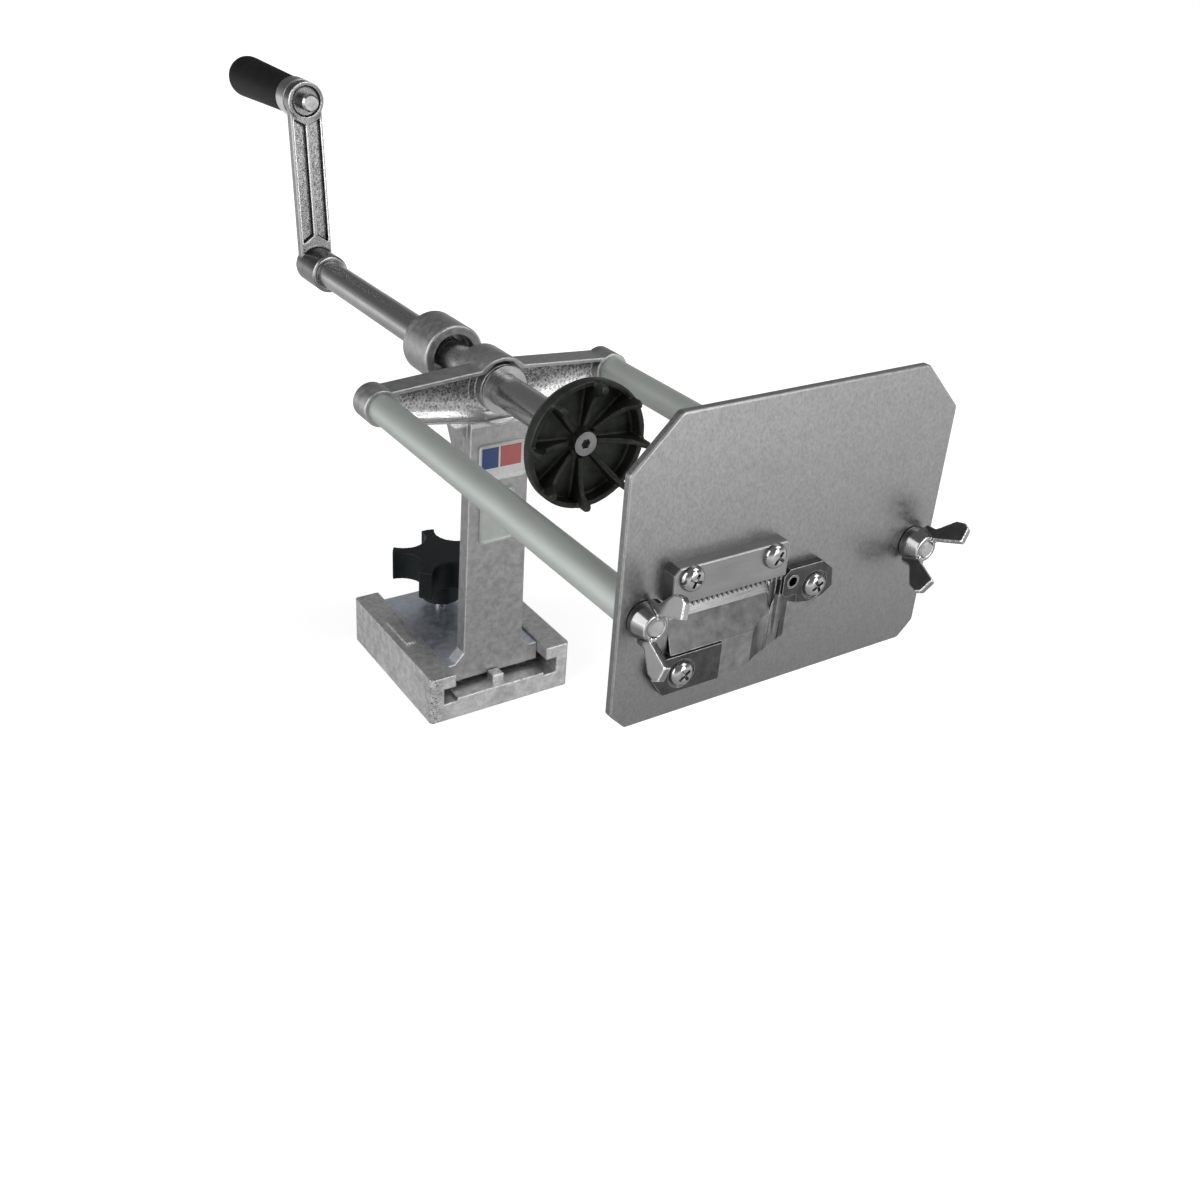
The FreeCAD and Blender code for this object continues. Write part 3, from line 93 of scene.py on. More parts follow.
HEAD_RADIUS = 5.6 * MM  # pan head screws
HEAD_HEIGHT = 3.3 * MM
SHANK_RADIUS = 2.5 * MM
WIDE_FACE = 60 * MM * MM    # faces of eased pieces above this area are shaded flat
ALONG_AXIS = 0.99995        # and so are those that face along an axis this closely


# ---------------------------------------------------------------- mesh helpers

def pick(piece):
    """Makes one piece the only selected and active one."""
    bpy.ops.object.select_all(action="DESELECT")
    piece.select_set(True)
    bpy.context.view_layer.objects.active = piece


def edit(piece):
    """Opens a piece in edit mode with everything selected."""
    pick(piece)
    bpy.ops.object.mode_set(mode="EDIT")
    bpy.ops.mesh.select_all(action="SELECT")


def leave_edit():
    bpy.ops.object.mode_set(mode="OBJECT")


def settle(piece):
    """Puts a piece's place into its mesh, so that its object sits at the origin."""
    pick(piece)
    bpy.ops.object.transform_apply(location=True, rotation=True, scale=True)
    return piece


def modify(piece, kind, **values):
    """Adds a modifier, sets it and applies it."""
    modifier = piece.modifiers.new(kind.lower(), kind)
    for key, value in values.items():
        setattr(modifier, key, value)
    pick(piece)
    bpy.ops.object.modifier_apply(modifier=modifier.name)


def shade(piece, degrees):
    """Shades a piece smooth except over edges sharper than the angle."""
    pick(piece)
    bpy.ops.object.shade_smooth_by_angle(angle=math.radians(degrees))


def fit(piece, body, slot, *nodes):
    """Lets a piece ride on a body and stand for the nodes it replaces; the slot is not used."""
    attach(piece, body)
    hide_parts(*nodes)
    return piece


def twin(node, name):
    """A separate copy of a CAD node with its loose triangles merged."""
    piece = NODES[node].copy()
    piece.data = NODES[node].data.copy()
    piece.name = name
    piece.parent = None
    for key in list(piece.keys()):
        del piece[key]
    bpy.context.scene.collection.objects.link(piece)
    edit(piece)
    bpy.ops.mesh.remove_doubles(threshold=0.002 * MM)
    leave_edit()
    return piece


def softened(node, name, voxel, passes):
    """A twin whose edges are rounded all over, as a tumbled or moulded piece has them."""
    piece = twin(node, name)
    modify(piece, "REMESH", mode="VOXEL", voxel_size=voxel)
    modify(piece, "SMOOTH", factor=0.5, iterations=passes)
    pick(piece)
    bpy.ops.object.shade_smooth()
    return fit(piece, NODES[node]["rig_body"], SLOT_OF[node], node)


def weigh_outer_edges(mesh, degrees):
    """Marks a mesh's sharp outer edges for bevelling and leaves its inner corners alone."""
    faces_of = {}
    for face in mesh.polygons:
        for key in face.edge_keys:
            faces_of.setdefault(key, []).append(face)
    weights = mesh.attributes.new("bevel_weight_edge", "FLOAT", "EDGE")
    for edge in mesh.edges:
        pair = faces_of.get(edge.key, ())
        if len(pair) == 2:
            first, second = pair
            sharp = first.normal.angle(second.normal, 0.0) > math.radians(degrees)
            outer = first.normal.dot(second.center - first.center) < 0
            weights.data[edge.index].value = float(sharp and outer)


def edged(node, name, width, finish, edge_finish, degrees=28):
    """A twin with its sharp outer edges eased to the stated width and worn bright."""
    piece = twin(node, name)
    edit(piece)
    bpy.ops.mesh.dissolve_limited(angle_limit=math.radians(0.4))
    leave_edit()
    weigh_outer_edges(piece.data, degrees)
    piece.data.materials.clear()
    piece.data.materials.append(finish)
    piece.data.materials.append(edge_finish)
    modify(piece, "BEVEL", width=width, segments=2, limit_method="WEIGHT", use_clamp_overlap=True,
           miter_outer="MITER_ARC", material=1)
    shade(piece, degrees + 8)
    for face in piece.data.polygons:
        if max(abs(value) for value in face.normal) > ALONG_AXIS or face.area > WIDE_FACE:
            face.use_smooth = False
    return fit(piece, NODES[node]["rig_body"], SLOT_OF[node], node)


# ---------------------------------------------------------------- shader groups

def new_group(name, inputs, outputs):
    """An empty shader group with its named sockets."""
    group = bpy.data.node_groups.new(name, "ShaderNodeTree")
    for label, kind, value in inputs:
        socket = group.interface.new_socket(label, in_out="INPUT", socket_type=kind)
        socket.default_value = value
    for label, kind in outputs:
        group.interface.new_socket(label, in_out="OUTPUT", socket_type=kind)
    return group, group.nodes.new("NodeGroupInput"), group.nodes.new("NodeGroupOutput")


def add(tree, kind, **values):
    """A node with its properties set; keys that name inputs set those instead."""
    node = tree.nodes.new("ShaderNode" + kind)
    for key, value in values.items():
        if hasattr(node, key):
            setattr(node, key, value)
        else:
            node.inputs[key.replace("_", " ")].default_value = value
    return node


def maths(tree, operation, first, second=None, clamp=False):
    """A maths node between sockets or numbers, returning its result."""
    node = tree.nodes.new("ShaderNodeMath")
    node.operation = operation
    node.use_clamp = clamp
    for index, value in enumerate((first, second)):
        if value is None:
            continue
        if isinstance(value, (int, float)):
            node.inputs[index].default_value = value
        else:
            tree.links.new(value, node.inputs[index])
    return node.outputs[0]


def stretch(tree, value, low, high, new_low=0.0, new_high=1.0):
    """Maps a range of a socket to another range, clamped."""
    node = add(tree, "MapRange", clamp=True)
    tree.links.new(value, node.inputs["Value"])
    for label, number in (("From Min", low), ("From Max", high), ("To Min", new_low), ("To Max", new_high)):
        node.inputs[label].default_value = number
    return node.outputs["Result"]


def noise(tree, vector, scale, detail, rough):
    """A noise texture's value at a place; the scale is a number or a socket."""
    node = add(tree, "TexNoise")
    node.inputs["Detail"].default_value = detail
    node.inputs["Roughness"].default_value = rough
    tree.links.new(vector, node.inputs["Vector"])
    if isinstance(scale, (int, float)):
        node.inputs["Scale"].default_value = scale
    else:
        tree.links.new(scale, node.inputs["Scale"])
    return node.outputs["Fac"]


def make_grain_group():
    """Mottled metal grain: a broad cloud, a fine grain and the height that goes with it."""
    group, given, result = new_group(
        "metal_grain",
        (("Vector", "NodeSocketVector", (0, 0, 0)), ("Cloud Scale", "NodeSocketFloat", 90.0),
         ("Grain Scale", "NodeSocketFloat", 900.0)),
        (("Cloud", "NodeSocketFloat"), ("Grain", "NodeSocketFloat"), ("Height", "NodeSocketFloat")))
    vector = given.outputs["Vector"]
    cloud = noise(group, vector, given.outputs["Cloud Scale"], 5.0, 0.6)
    grain = noise(group, vector, given.outputs["Grain Scale"], 6.0, 0.7)
    group.links.new(stretch(group, cloud, 0.3, 0.7), result.inputs["Cloud"])
    group.links.new(stretch(group, grain, 0.3, 0.7), result.inputs["Grain"])
    height = maths(group, "ADD", maths(group, "MULTIPLY", cloud, 0.35), maths(group, "MULTIPLY", grain, 0.65))
    group.links.new(height, result.inputs["Height"])
    return group


def make_wear_group():
    """A mask that is 1 on outer edges, broken up by noise, as handling leaves them bright."""
    group, given, result = new_group(
        "edge_wear",
        (("Vector", "NodeSocketVector", (0, 0, 0)), ("Width", "NodeSocketFloat", 0.6 * MM)),
        (("Mask", "NodeSocketFloat"), ("Normal", "NodeSocketVector")))
    bevel = group.nodes.new("ShaderNodeBevel")
    bevel.samples = 6
    group.links.new(given.outputs["Width"], bevel.inputs["Radius"])
    geometry = group.nodes.new("ShaderNodeNewGeometry")
    facing = group.nodes.new("ShaderNodeVectorMath")
    facing.operation = "DOT_PRODUCT"
    group.links.new(bevel.outputs["Normal"], facing.inputs[0])
    group.links.new(geometry.outputs["Normal"], facing.inputs[1])
    edge = stretch(group, facing.outputs["Value"], 0.998, 0.90)
    broken = stretch(group, noise(group, given.outputs["Vector"], 350.0, 3.0, 0.6), 0.3, 0.55, 0.35, 1.0)
    group.links.new(maths(group, "MULTIPLY", edge, broken, clamp=True), result.inputs["Mask"])
    group.links.new(bevel.outputs["Normal"], result.inputs["Normal"])
    return group


def make_speck_group():
    """The rough skin of a sand cast recess: pits, bright specks and a coarse height."""
    group, given, result = new_group(
        "cast_skin",
        (("Vector", "NodeSocketVector", (0, 0, 0)), ("Scale", "NodeSocketFloat", 700.0)),
        (("Pits", "NodeSocketFloat"), ("Specks", "NodeSocketFloat"), ("Height", "NodeSocketFloat")))
    cells = add(group, "TexVoronoi", feature="F1")
    group.links.new(given.outputs["Vector"], cells.inputs["Vector"])
    group.links.new(given.outputs["Scale"], cells.inputs["Scale"])
    lumps = noise(group, given.outputs["Vector"], given.outputs["Scale"], 5.0, 0.7)
    pits = stretch(group, maths(group, "MULTIPLY", lumps, cells.outputs["Distance"]), 0.08, 0.32)
    specks = stretch(group, maths(group, "SUBTRACT", lumps, cells.outputs["Distance"]), 0.25, 0.5)
    group.links.new(pits, result.inputs["Pits"])
    group.links.new(specks, result.inputs["Specks"])
    height = maths(group, "SUBTRACT", lumps, maths(group, "MULTIPLY", cells.outputs["Distance"], 0.5))
    group.links.new(height, result.inputs["Height"])
    return group


GRAIN = make_grain_group()
WEAR = make_wear_group()
SKIN = make_speck_group()


class Finish:
    """A material with a Principled shader, Object coordinates and short ways to feed them."""

    def __init__(self, name, metallic=1.0, roughness=0.4, **constants):
        self.material = bpy.data.materials.new(name)
        self.material.use_nodes = True
        self.tree = self.material.node_tree
        self.shader = self.tree.nodes["Principled BSDF"]
        self.shader.inputs["Metallic"].default_value = metallic
        self.shader.inputs["Roughness"].default_value = roughness
        for key, value in constants.items():
            self.shader.inputs[key.replace("_", " ")].default_value = value
        self.place = add(self.tree, "TexCoord").outputs["Object"]

    def scaled(self, scale):
        """Object coordinates stretched by three factors."""
        node = add(self.tree, "Mapping")
        node.inputs["Scale"].default_value = scale
        self.tree.links.new(self.place, node.inputs["Vector"])
        return node.outputs["Vector"]

    def group(self, group, vector=None, **values):
        """The outputs of a shader group fed with a place and constants."""
        node = self.tree.nodes.new("ShaderNodeGroup")
        node.node_tree = group
        self.tree.links.new(vector or self.place, node.inputs["Vector"])
        for key, value in values.items():
            node.inputs[key.replace("_", " ")].default_value = value
        return node.outputs

    def mixed(self, mask, first, second):
        """A colour that goes from first to second with the mask; each a colour or a socket."""
        node = add(self.tree, "Mix", data_type="RGBA")
        self.tree.links.new(mask, node.inputs[0])
        for index, value in ((6, first), (7, second)):
            if isinstance(value, tuple):
                node.inputs[index].default_value = (*value, 1)
            else:
                self.tree.links.new(value, node.inputs[index])
        return node.outputs[2]

    def maths(self, operation, first, second=None, clamp=False):
        return maths(self.tree, operation, first, second, clamp)

    def stretch(self, value, low, high, new_low=0.0, new_high=1.0):
        return stretch(self.tree, value, low, high, new_low, new_high)

    def product(self, *values):
        """Several sockets or numbers multiplied together."""
        result = values[0]
        for value in values[1:]:
            result = self.maths("MULTIPLY", result, value)
        return result

    def parts(self, vector):
        """The X, Y and Z of a vector socket."""
        node = add(self.tree, "SeparateXYZ")
        self.tree.links.new(vector, node.inputs[0])
        return node.outputs

    def along(self, direction):
        """How far a point lies along a direction."""
        node = add(self.tree, "VectorMath", operation="DOT_PRODUCT")
        self.tree.links.new(self.place, node.inputs[0])
        node.inputs[1].default_value = direction
        return node.outputs["Value"]

    def colour(self, socket):
        self.tree.links.new(socket, self.shader.inputs["Base Color"])

    def rough(self, socket):
        self.tree.links.new(socket, self.shader.inputs["Roughness"])

    def bump(self, height, distance, strength, base=None):
        """Relief over the surface, or over another normal such as that of worn edges."""
        node = add(self.tree, "Bump")
        node.inputs["Strength"].default_value = strength
        node.inputs["Distance"].default_value = distance
        self.tree.links.new(height, node.inputs["Height"])
        if base is not None:
            self.tree.links.new(base, node.inputs["Normal"])
        self.tree.links.new(node.outputs["Normal"], self.shader.inputs["Normal"])


def grey(value):
    """A neutral linear colour."""
    return (value, value, value)


# ---------------------------------------------------------------- finishes

def cast_base(finish, dark, light):
    """Soft mottling shared by the castings, returned with its grain, wear and skin groups."""
    grain = finish.group(GRAIN, Cloud_Scale=260.0, Grain_Scale=1300.0)
    wear = finish.group(WEAR, Width=1.5 * MM)
    skin = finish.group(SKIN, Scale=620.0)
    base = finish.mixed(grain["Cloud"], grey(dark), grey(light))
    base = finish.mixed(finish.product(grain["Grain"], 0.4), base, grey(dark * 0.75))
    return base, grain, wear, skin


def cast_metal():
    """Tumbled aluminium: soft mottling, worn edges, a painted cool sheen on the foot's upper side and rough skin
    in the arm's recess, with painted shade under the flange and a bright painted reflection at the lower edge."""
    finish = Finish("cast_metal", roughness=0.42)
    base, grain, wear, skin = cast_base(finish, 0.33, 0.50)
    place = finish.parts(finish.place)
    facing = finish.parts(add(finish.tree, "NewGeometry").outputs["Normal"])
    sunk = finish.stretch(place["Y"], COLUMN_FRONT - 0.4 * MM, COLUMN_FRONT + 0.6 * MM)
    within = finish.stretch(place["Y"], COLUMN_FRONT + WEB_DEPTH + 0.2 * MM, COLUMN_FRONT + WEB_DEPTH - 0.2 * MM)
    high = finish.stretch(place["Z"], SHAFT_Z - ARM_UNDER, SHAFT_Z - ARM_UNDER + 1 * MM)
    recess = finish.product(sunk, within, high, finish.stretch(facing["Y"], -0.2, -0.5))
    rise = finish.product(finish.maths("ABSOLUTE", place["X"]), WEB_SLOPE)
    height = finish.maths("SUBTRACT", place["Z"], finish.maths("SUBTRACT", rise, WEB_LOW - SHAFT_Z))
    # Painted light in the recess: dark painted shade under the flange, fading to a bright painted reflection at
    # the web's lower edge, broken up by pits and specks.
    speckle = finish.product(finish.maths("SUBTRACT", 0.5, skin["Pits"]), 0.30)
    painted_shade_speckled = finish.maths("ADD", finish.stretch(height, 3 * MM, 15 * MM), speckle, clamp=True)
    skin_with_painted_light = finish.mixed(painted_shade_speckled, grey(0.95), grey(0.13))
    pitted = finish.product(painted_shade_speckled, finish.maths("SUBTRACT", 1.0, skin["Pits"]))
    skin_with_painted_light = finish.mixed(pitted, skin_with_painted_light, grey(0.07))
    skin_with_painted_light = finish.mixed(finish.product(skin["Specks"], 0.7), skin_with_painted_light, grey(0.9))
    # A painted cool sheen on the foot's upward faces, standing in for the light on them.
    upward = finish.stretch(facing["Z"], 0.6, 0.8)
    foot = finish.product(finish.stretch(place["Z"], FOOT_TOP + 3 * MM, FOOT_TOP), upward)
    base = finish.mixed(foot, base, finish.mixed(grain["Cloud"], (0.66, 0.72, 0.82), (0.86, 0.92, 1.0)))
    base = finish.mixed(recess, base, skin_with_painted_light)
    base = finish.mixed(finish.product(wear["Mask"], 0.6), base, grey(0.78))
    finish.colour(base)
    rough = finish.stretch(grain["Cloud"], 0.0, 1.0, 0.36, 0.50)
    finish.rough(finish.maths("SUBTRACT", rough, finish.product(recess, 0.14)))
    relief = finish.maths("ADD", finish.product(grain["Height"], 0.25), finish.product(skin["Height"], recess))
    finish.bump(relief, 0.35 * MM, 0.8, wear["Normal"])
    return finish.material


def base_metal():
    """The bench channel: blotchier than the frame and painted lighter than it, standing in for the stronger
    light on the base; pitted along its edges, scuffed at one corner.
    """
    finish = Finish("base_metal", roughness=0.45)
    # The lighter range of colours is painted light: it stands in for the stronger light falling on the base.
    base, grain, wear, skin = cast_base(finish, 0.58, 0.94)
    blotch = finish.stretch(noise(finish.tree, finish.place, 60.0, 5.0, 0.65), 0.50, 0.75)
    base = finish.mixed(finish.product(blotch, 0.4), base, grey(0.22))
    bare = finish.maths("SUBTRACT", wear["Mask"], finish.product(wear["Mask"], skin["Pits"]))
    base = finish.mixed(finish.product(wear["Mask"], 0.7), base, grey(0.95))
    base = finish.mixed(finish.product(bare, 0.8), base, grey(0.12))
    corner = add(finish.tree, "VectorMath", operation="DISTANCE")
    finish.tree.links.new(finish.scaled((1, 1, 0)), corner.inputs[0])
    corner.inputs[1].default_value = (BASE_CORNER.x, BASE_CORNER.y, 0)
    scuffed = finish.stretch(corner.outputs["Value"], 11 * MM, 3 * MM)
    nicks = finish.stretch(noise(finish.tree, finish.place, 900.0, 4.0, 0.7), 0.52, 0.60)
    base = finish.mixed(finish.product(scuffed, nicks), base, grey(0.10))
    base = finish.mixed(finish.product(scuffed, skin["Specks"]), base, grey(0.98))
    finish.colour(base)
    finish.rough(finish.stretch(grain["Grain"], 0.0, 1.0, 0.38, 0.55))
    relief = finish.maths("ADD", finish.product(grain["Height"], 0.4), finish.product(skin["Height"], 0.25))
    finish.bump(relief, 0.30 * MM, 0.7, wear["Normal"])
    return finish.material


def crank_metal():
    """The crank casting: painted highlights on its rims, painted shade in its hollows, a rough sparkling floor
    in its two recesses.
    """
    finish = Finish("crank_metal", roughness=0.30)
    grain = finish.group(GRAIN, Cloud_Scale=160.0, Grain_Scale=1100.0)
    wear = finish.group(WEAR, Width=0.9 * MM)
    skin = finish.group(SKIN, Scale=520.0)
    depth = finish.maths("SUBTRACT", finish.along(CRANK_FACE), CRANK_RIM)
    sunk = finish.stretch(depth, -2.2 * MM, -3.2 * MM)
    rough_floor = finish.mixed(skin["Pits"], grey(0.06), grey(0.20))
    rough_floor = finish.mixed(finish.product(skin["Specks"], 0.6), rough_floor, grey(0.7))
    base = finish.mixed(grain["Cloud"], grey(0.12), grey(0.19))
    base = finish.mixed(sunk, base, rough_floor)
    # Painted shade in the hollows and painted highlights along the rims, from the mesh's pointiness.
    bent = add(finish.tree, "NewGeometry").outputs["Pointiness"]
    base = finish.mixed(finish.stretch(bent, 0.495, 0.44), base, grey(0.03))
    base = finish.mixed(finish.stretch(bent, 0.508, 0.545), base, grey(0.85))
    finish.colour(base)
    finish.rough(finish.stretch(grain["Grain"], 0.0, 1.0, 0.16, 0.32))
    coarse = finish.product(skin["Height"], finish.stretch(sunk, 0, 1, 0.3, 1.0))
    relief = finish.maths("ADD", coarse, finish.product(grain["Height"], 0.5))
    finish.bump(relief, 0.25 * MM, 0.6, wear["Normal"])
    return finish.material


def face_sheet():
    """Satin aluminium sheet with a fine blotchy grain and bright edges, and painted shade that darkens it
    towards its foot.
    """
    finish = Finish("face_sheet", roughness=0.34)
    grain = finish.group(GRAIN, finish.scaled((1.3, 1.0, 0.8)), Cloud_Scale=800.0, Grain_Scale=2400.0)
    wear = finish.group(WEAR, Width=1.0 * MM)
    broad = noise(finish.tree, finish.place, 60.0, 3.0, 0.5)
    base = finish.mixed(grain["Cloud"], grey(0.22), grey(0.335))
    base = finish.mixed(finish.product(broad, 0.25), base, grey(0.20))
    # Painted shade: the sheet is darkened towards its lower edge.
    lower = finish.stretch(finish.parts(finish.place)["Z"], PLATE_HIGH.z, PLATE_LOW.z, 0.0, 0.45)
    base = finish.mixed(lower, base, grey(0.16))
    base = finish.mixed(finish.product(wear["Mask"], 0.6), base, grey(0.72))
    finish.colour(base)
    finish.rough(finish.stretch(grain["Cloud"], 0.0, 1.0, 0.30, 0.42))
    finish.bump(grain["Height"], 0.05 * MM, 0.5, wear["Normal"])
    return finish.material


def bar_metal():
    """Machined bar stock: smooth, with faint milling lines along it."""
    finish = Finish("bar_metal", roughness=0.36)
    grain = finish.group(GRAIN, finish.scaled((0.35, 1.0, 1.4)), Cloud_Scale=120.0, Grain_Scale=1400.0)
    wear = finish.group(WEAR, Width=0.5 * MM)
    base = finish.mixed(grain["Cloud"], grey(0.21), grey(0.27))
    base = finish.mixed(finish.product(wear["Mask"], 0.8), base, grey(0.75))
    finish.colour(base)
    finish.rough(finish.stretch(grain["Grain"], 0.0, 1.0, 0.30, 0.40))
    finish.bump(grain["Height"], 0.03 * MM, 0.4, wear["Normal"])
    return finish.material


def holder_metal():
    """The lower casting of the blade set: dark lugs, polished where the food slides, with painted shade on faces
    not turned to the front.
    """
    finish = Finish("holder_metal", roughness=0.34)
    grain = finish.group(GRAIN, Cloud_Scale=200.0, Grain_Scale=1200.0)
    wear = finish.group(WEAR, Width=0.6 * MM)
    raised = finish.stretch(finish.parts(finish.place)["Y"], HOLDER_FRONT + 1.2 * MM, HOLDER_FRONT + 0.6 * MM)
    facing = finish.parts(add(finish.tree, "NewGeometry").outputs["Normal"])["Y"]
    base = finish.mixed(grain["Cloud"], grey(0.16), grey(0.27))
    # Painted shade: faces that do not face the front get darker colours.
    sides = finish.mixed(grain["Cloud"], grey(0.06), grey(0.11))
    base = finish.mixed(finish.stretch(facing, -0.99, -0.96), base, sides)
    base = finish.mixed(raised, base, finish.mixed(grain["Cloud"], grey(0.045), grey(0.085)))
    base = finish.mixed(finish.product(wear["Mask"], 0.65), base, grey(0.62))
    finish.colour(base)
    rough = finish.stretch(grain["Grain"], 0.0, 1.0, 0.32, 0.44)
    finish.rough(finish.maths("ADD", rough, finish.product(raised, 0.12)))
    finish.bump(grain["Height"], 0.06 * MM, 0.5, wear["Normal"])
    return finish.material


def rod_metal():
    """Clear anodised rod, smooth and slightly green; its bare stud end ahead of the plate is grey."""
    finish = Finish("rod_metal", roughness=0.50, metallic=0.7)
    grain = finish.group(GRAIN, finish.scaled((1.0, 0.25, 1.0)), Cloud_Scale=150.0, Grain_Scale=2200.0)
    base = finish.mixed(grain["Cloud"], (0.475, 0.515, 0.49), (0.53, 0.565, 0.54))
    base = finish.mixed(finish.product(grain["Grain"], 0.25), base, (0.44, 0.465, 0.45))
    depth = finish.parts(finish.place)["Y"]
    stud = finish.stretch(depth, PLATE_FRONT - 0.2 * MM, PLATE_FRONT - 0.6 * MM)
    base = finish.mixed(stud, base, finish.mixed(grain["Cloud"], grey(0.34), grey(0.46)))
    finish.colour(base)
    finish.rough(finish.stretch(grain["Grain"], 0.0, 1.0, 0.46, 0.54))
    finish.bump(grain["Height"], 0.02 * MM, 0.4)
    return finish.material


def shaft_steel():
    """Ground steel: fine lines round the shaft, faint handling marks along it."""
    finish = Finish("shaft_steel", roughness=0.28)
    lines = finish.group(GRAIN, finish.scaled((1.0, 90.0, 1.0)), Cloud_Scale=30.0, Grain_Scale=60.0)
    marks = finish.group(GRAIN, finish.scaled((1.0, 0.4, 1.0)), Cloud_Scale=70.0, Grain_Scale=700.0)
    base = finish.mixed(lines["Grain"], grey(0.38), grey(0.50))
    base = finish.mixed(finish.product(marks["Cloud"], 0.4), base, grey(0.24))
    finish.colour(base)
    finish.rough(finish.stretch(marks["Cloud"], 0.0, 1.0, 0.20, 0.32))
    finish.bump(lines["Height"], 0.012 * MM, 0.3)
    return finish.material


def turned_steel(name, dark, light, roughness):
    """Turned or polished small parts: lines round the Y axis and soft edge wear."""
    finish = Finish(name, roughness=roughness)
    lines = finish.group(GRAIN, finish.scaled((1.0, 40.0, 1.0)), Cloud_Scale=60.0, Grain_Scale=90.0)
    wear = finish.group(WEAR, Width=0.35 * MM)
    base = finish.mixed(lines["Grain"], grey(dark), grey(light))
    base = finish.mixed(finish.product(wear["Mask"], 0.5), base, grey(0.8))
    finish.colour(base)
    finish.rough(finish.stretch(lines["Cloud"], 0.0, 1.0, roughness * 0.75, roughness * 1.25))
    finish.bump(lines["Height"], 0.015 * MM, 0.4, wear["Normal"])
    return finish.material


def bright_metal(name, value, roughness, painted_rim_light=False):
    """Bright plated fittings with faint handling haze; rimmed ones get painted highlights on their edges and
    painted shade in their hollows.
    """
    finish = Finish(name, roughness=roughness)
    grain = finish.group(GRAIN, Cloud_Scale=260.0, Grain_Scale=1500.0)
    base = finish.mixed(grain["Cloud"], grey(value * 0.85), grey(value))
    if painted_rim_light:
        # Painted highlights on the crests and painted shade in the hollows, from the mesh's pointiness.
        bent = add(finish.tree, "NewGeometry").outputs["Pointiness"]
        base = finish.mixed(finish.stretch(bent, 0.51, 0.55), base, grey(0.95))
        base = finish.mixed(finish.stretch(bent, 0.49, 0.45), base, grey(0.05))
    finish.colour(base)
    finish.rough(finish.stretch(grain["Cloud"], 0.2, 1.0, roughness * 0.7, roughness * 1.5))
    finish.bump(grain["Height"], 0.03 * MM, 0.3)
    return finish.material


def cup_metal():
    """Dark cast cup: matt, a little green, lighter on rims and prongs."""
    finish = Finish("cup_metal", roughness=0.46, metallic=0.85)
    grain = finish.group(GRAIN, Cloud_Scale=160.0, Grain_Scale=900.0)
    wear = finish.group(WEAR, Width=0.6 * MM)
    base = finish.mixed(grain["Cloud"], (0.028, 0.031, 0.026), (0.058, 0.062, 0.054))
    base = finish.mixed(finish.product(wear["Mask"], 0.2), base, grey(0.12))
    finish.colour(base)
    finish.rough(finish.stretch(grain["Grain"], 0.0, 1.0, 0.42, 0.60))
    finish.bump(grain["Height"], 0.12 * MM, 0.6, wear["Normal"])
    return finish.material


def worn_edge():
    """Edges rubbed bright by handling, nicked with dark specks."""
    finish = Finish("worn_edge", roughness=0.34)
    skin = finish.group(SKIN, Scale=900.0)
    grain = finish.group(GRAIN, Cloud_Scale=500.0, Grain_Scale=1500.0)
    base = finish.mixed(grain["Cloud"], grey(0.34), grey(0.95))
    finish.colour(finish.mixed(finish.product(skin["Specks"], 0.8), base, grey(0.06)))
    finish.rough(finish.stretch(grain["Grain"], 0.0, 1.0, 0.26, 0.42))
    finish.bump(skin["Height"], 0.10 * MM, 0.5)
    return finish.material


def black_plastic(name, dark, light, smooth, rough, scale, shine):
    """Moulded black plastic: fine pebble, rubbed patches."""
    finish = Finish(name, metallic=0.0, roughness=0.4, Specular_IOR_Level=shine)
    grain = finish.group(GRAIN, Cloud_Scale=80.0, Grain_Scale=scale)
    finish.colour(finish.mixed(grain["Cloud"], dark, light))
    finish.rough(finish.stretch(grain["Cloud"], 0.0, 1.0, smooth, rough))
    finish.bump(grain["Height"], 0.06 * MM, 0.45)
    return finish.material


def label_print():
    """Worn white label stock with a blue and a red printed panel and nothing else."""
    finish = Finish("label_print", metallic=0.0, roughness=0.42)
    grain = finish.group(GRAIN, Cloud_Scale=300.0, Grain_Scale=1600.0)
    place = finish.parts(finish.place)
    soft = 0.12 * MM
    margin = 2 * MM
    left, right, low, high = UPPER_LABEL

    def within(axis, start, end):
        after = finish.stretch(place[axis], start, start + soft)
        before = finish.stretch(place[axis], end, end - soft)
        return finish.product(after, before)

    paper = finish.mixed(grain["Cloud"], (0.66, 0.67, 0.65), (0.76, 0.77, 0.76))
    tall = within("Z", low + 7 * MM, high - margin)
    blue = finish.product(tall, within("X", left + margin, left + 13 * MM))
    red = finish.product(tall, within("X", left + 14 * MM, right - margin))
    colour = finish.mixed(blue, paper, (0.035, 0.075, 0.22))
    colour = finish.mixed(red, colour, finish.mixed(grain["Grain"], (0.42, 0.10, 0.10), (0.50, 0.15, 0.14)))
    finish.colour(colour)
    finish.bump(grain["Height"], 0.02 * MM, 0.3)
    return finish.material


def label_foil():
    """Bare silvered label stock."""
    finish = Finish("label_foil", metallic=0.35, roughness=0.38)
    grain = finish.group(GRAIN, Cloud_Scale=120.0, Grain_Scale=1500.0)
    finish.colour(finish.mixed(grain["Cloud"], (0.48, 0.51, 0.49), (0.60, 0.63, 0.61)))
    finish.bump(grain["Height"], 0.02 * MM, 0.3)
    return finish.material


def crank_plane():
    """The crank arm's front face: its normal and its distance, from the widest sloping faces."""
    mesh = NODES["crank_arm"].data
    areas = {}
    for face in mesh.polygons:
        if -0.9999 < face.normal.y < -0.9:
            key = tuple(round(value, 3) for value in face.normal)
            areas[key] = areas.get(key, 0.0) + face.area
    normal = Vector(max(areas, key=areas.get))
    front = [face for face in mesh.polygons if (face.normal - normal).length < 0.01]
    return normal, max(normal.dot(mesh.vertices[index].co) for face in front for index in face.vertices)


CRANK_FACE, CRANK_RIM = crank_plane()

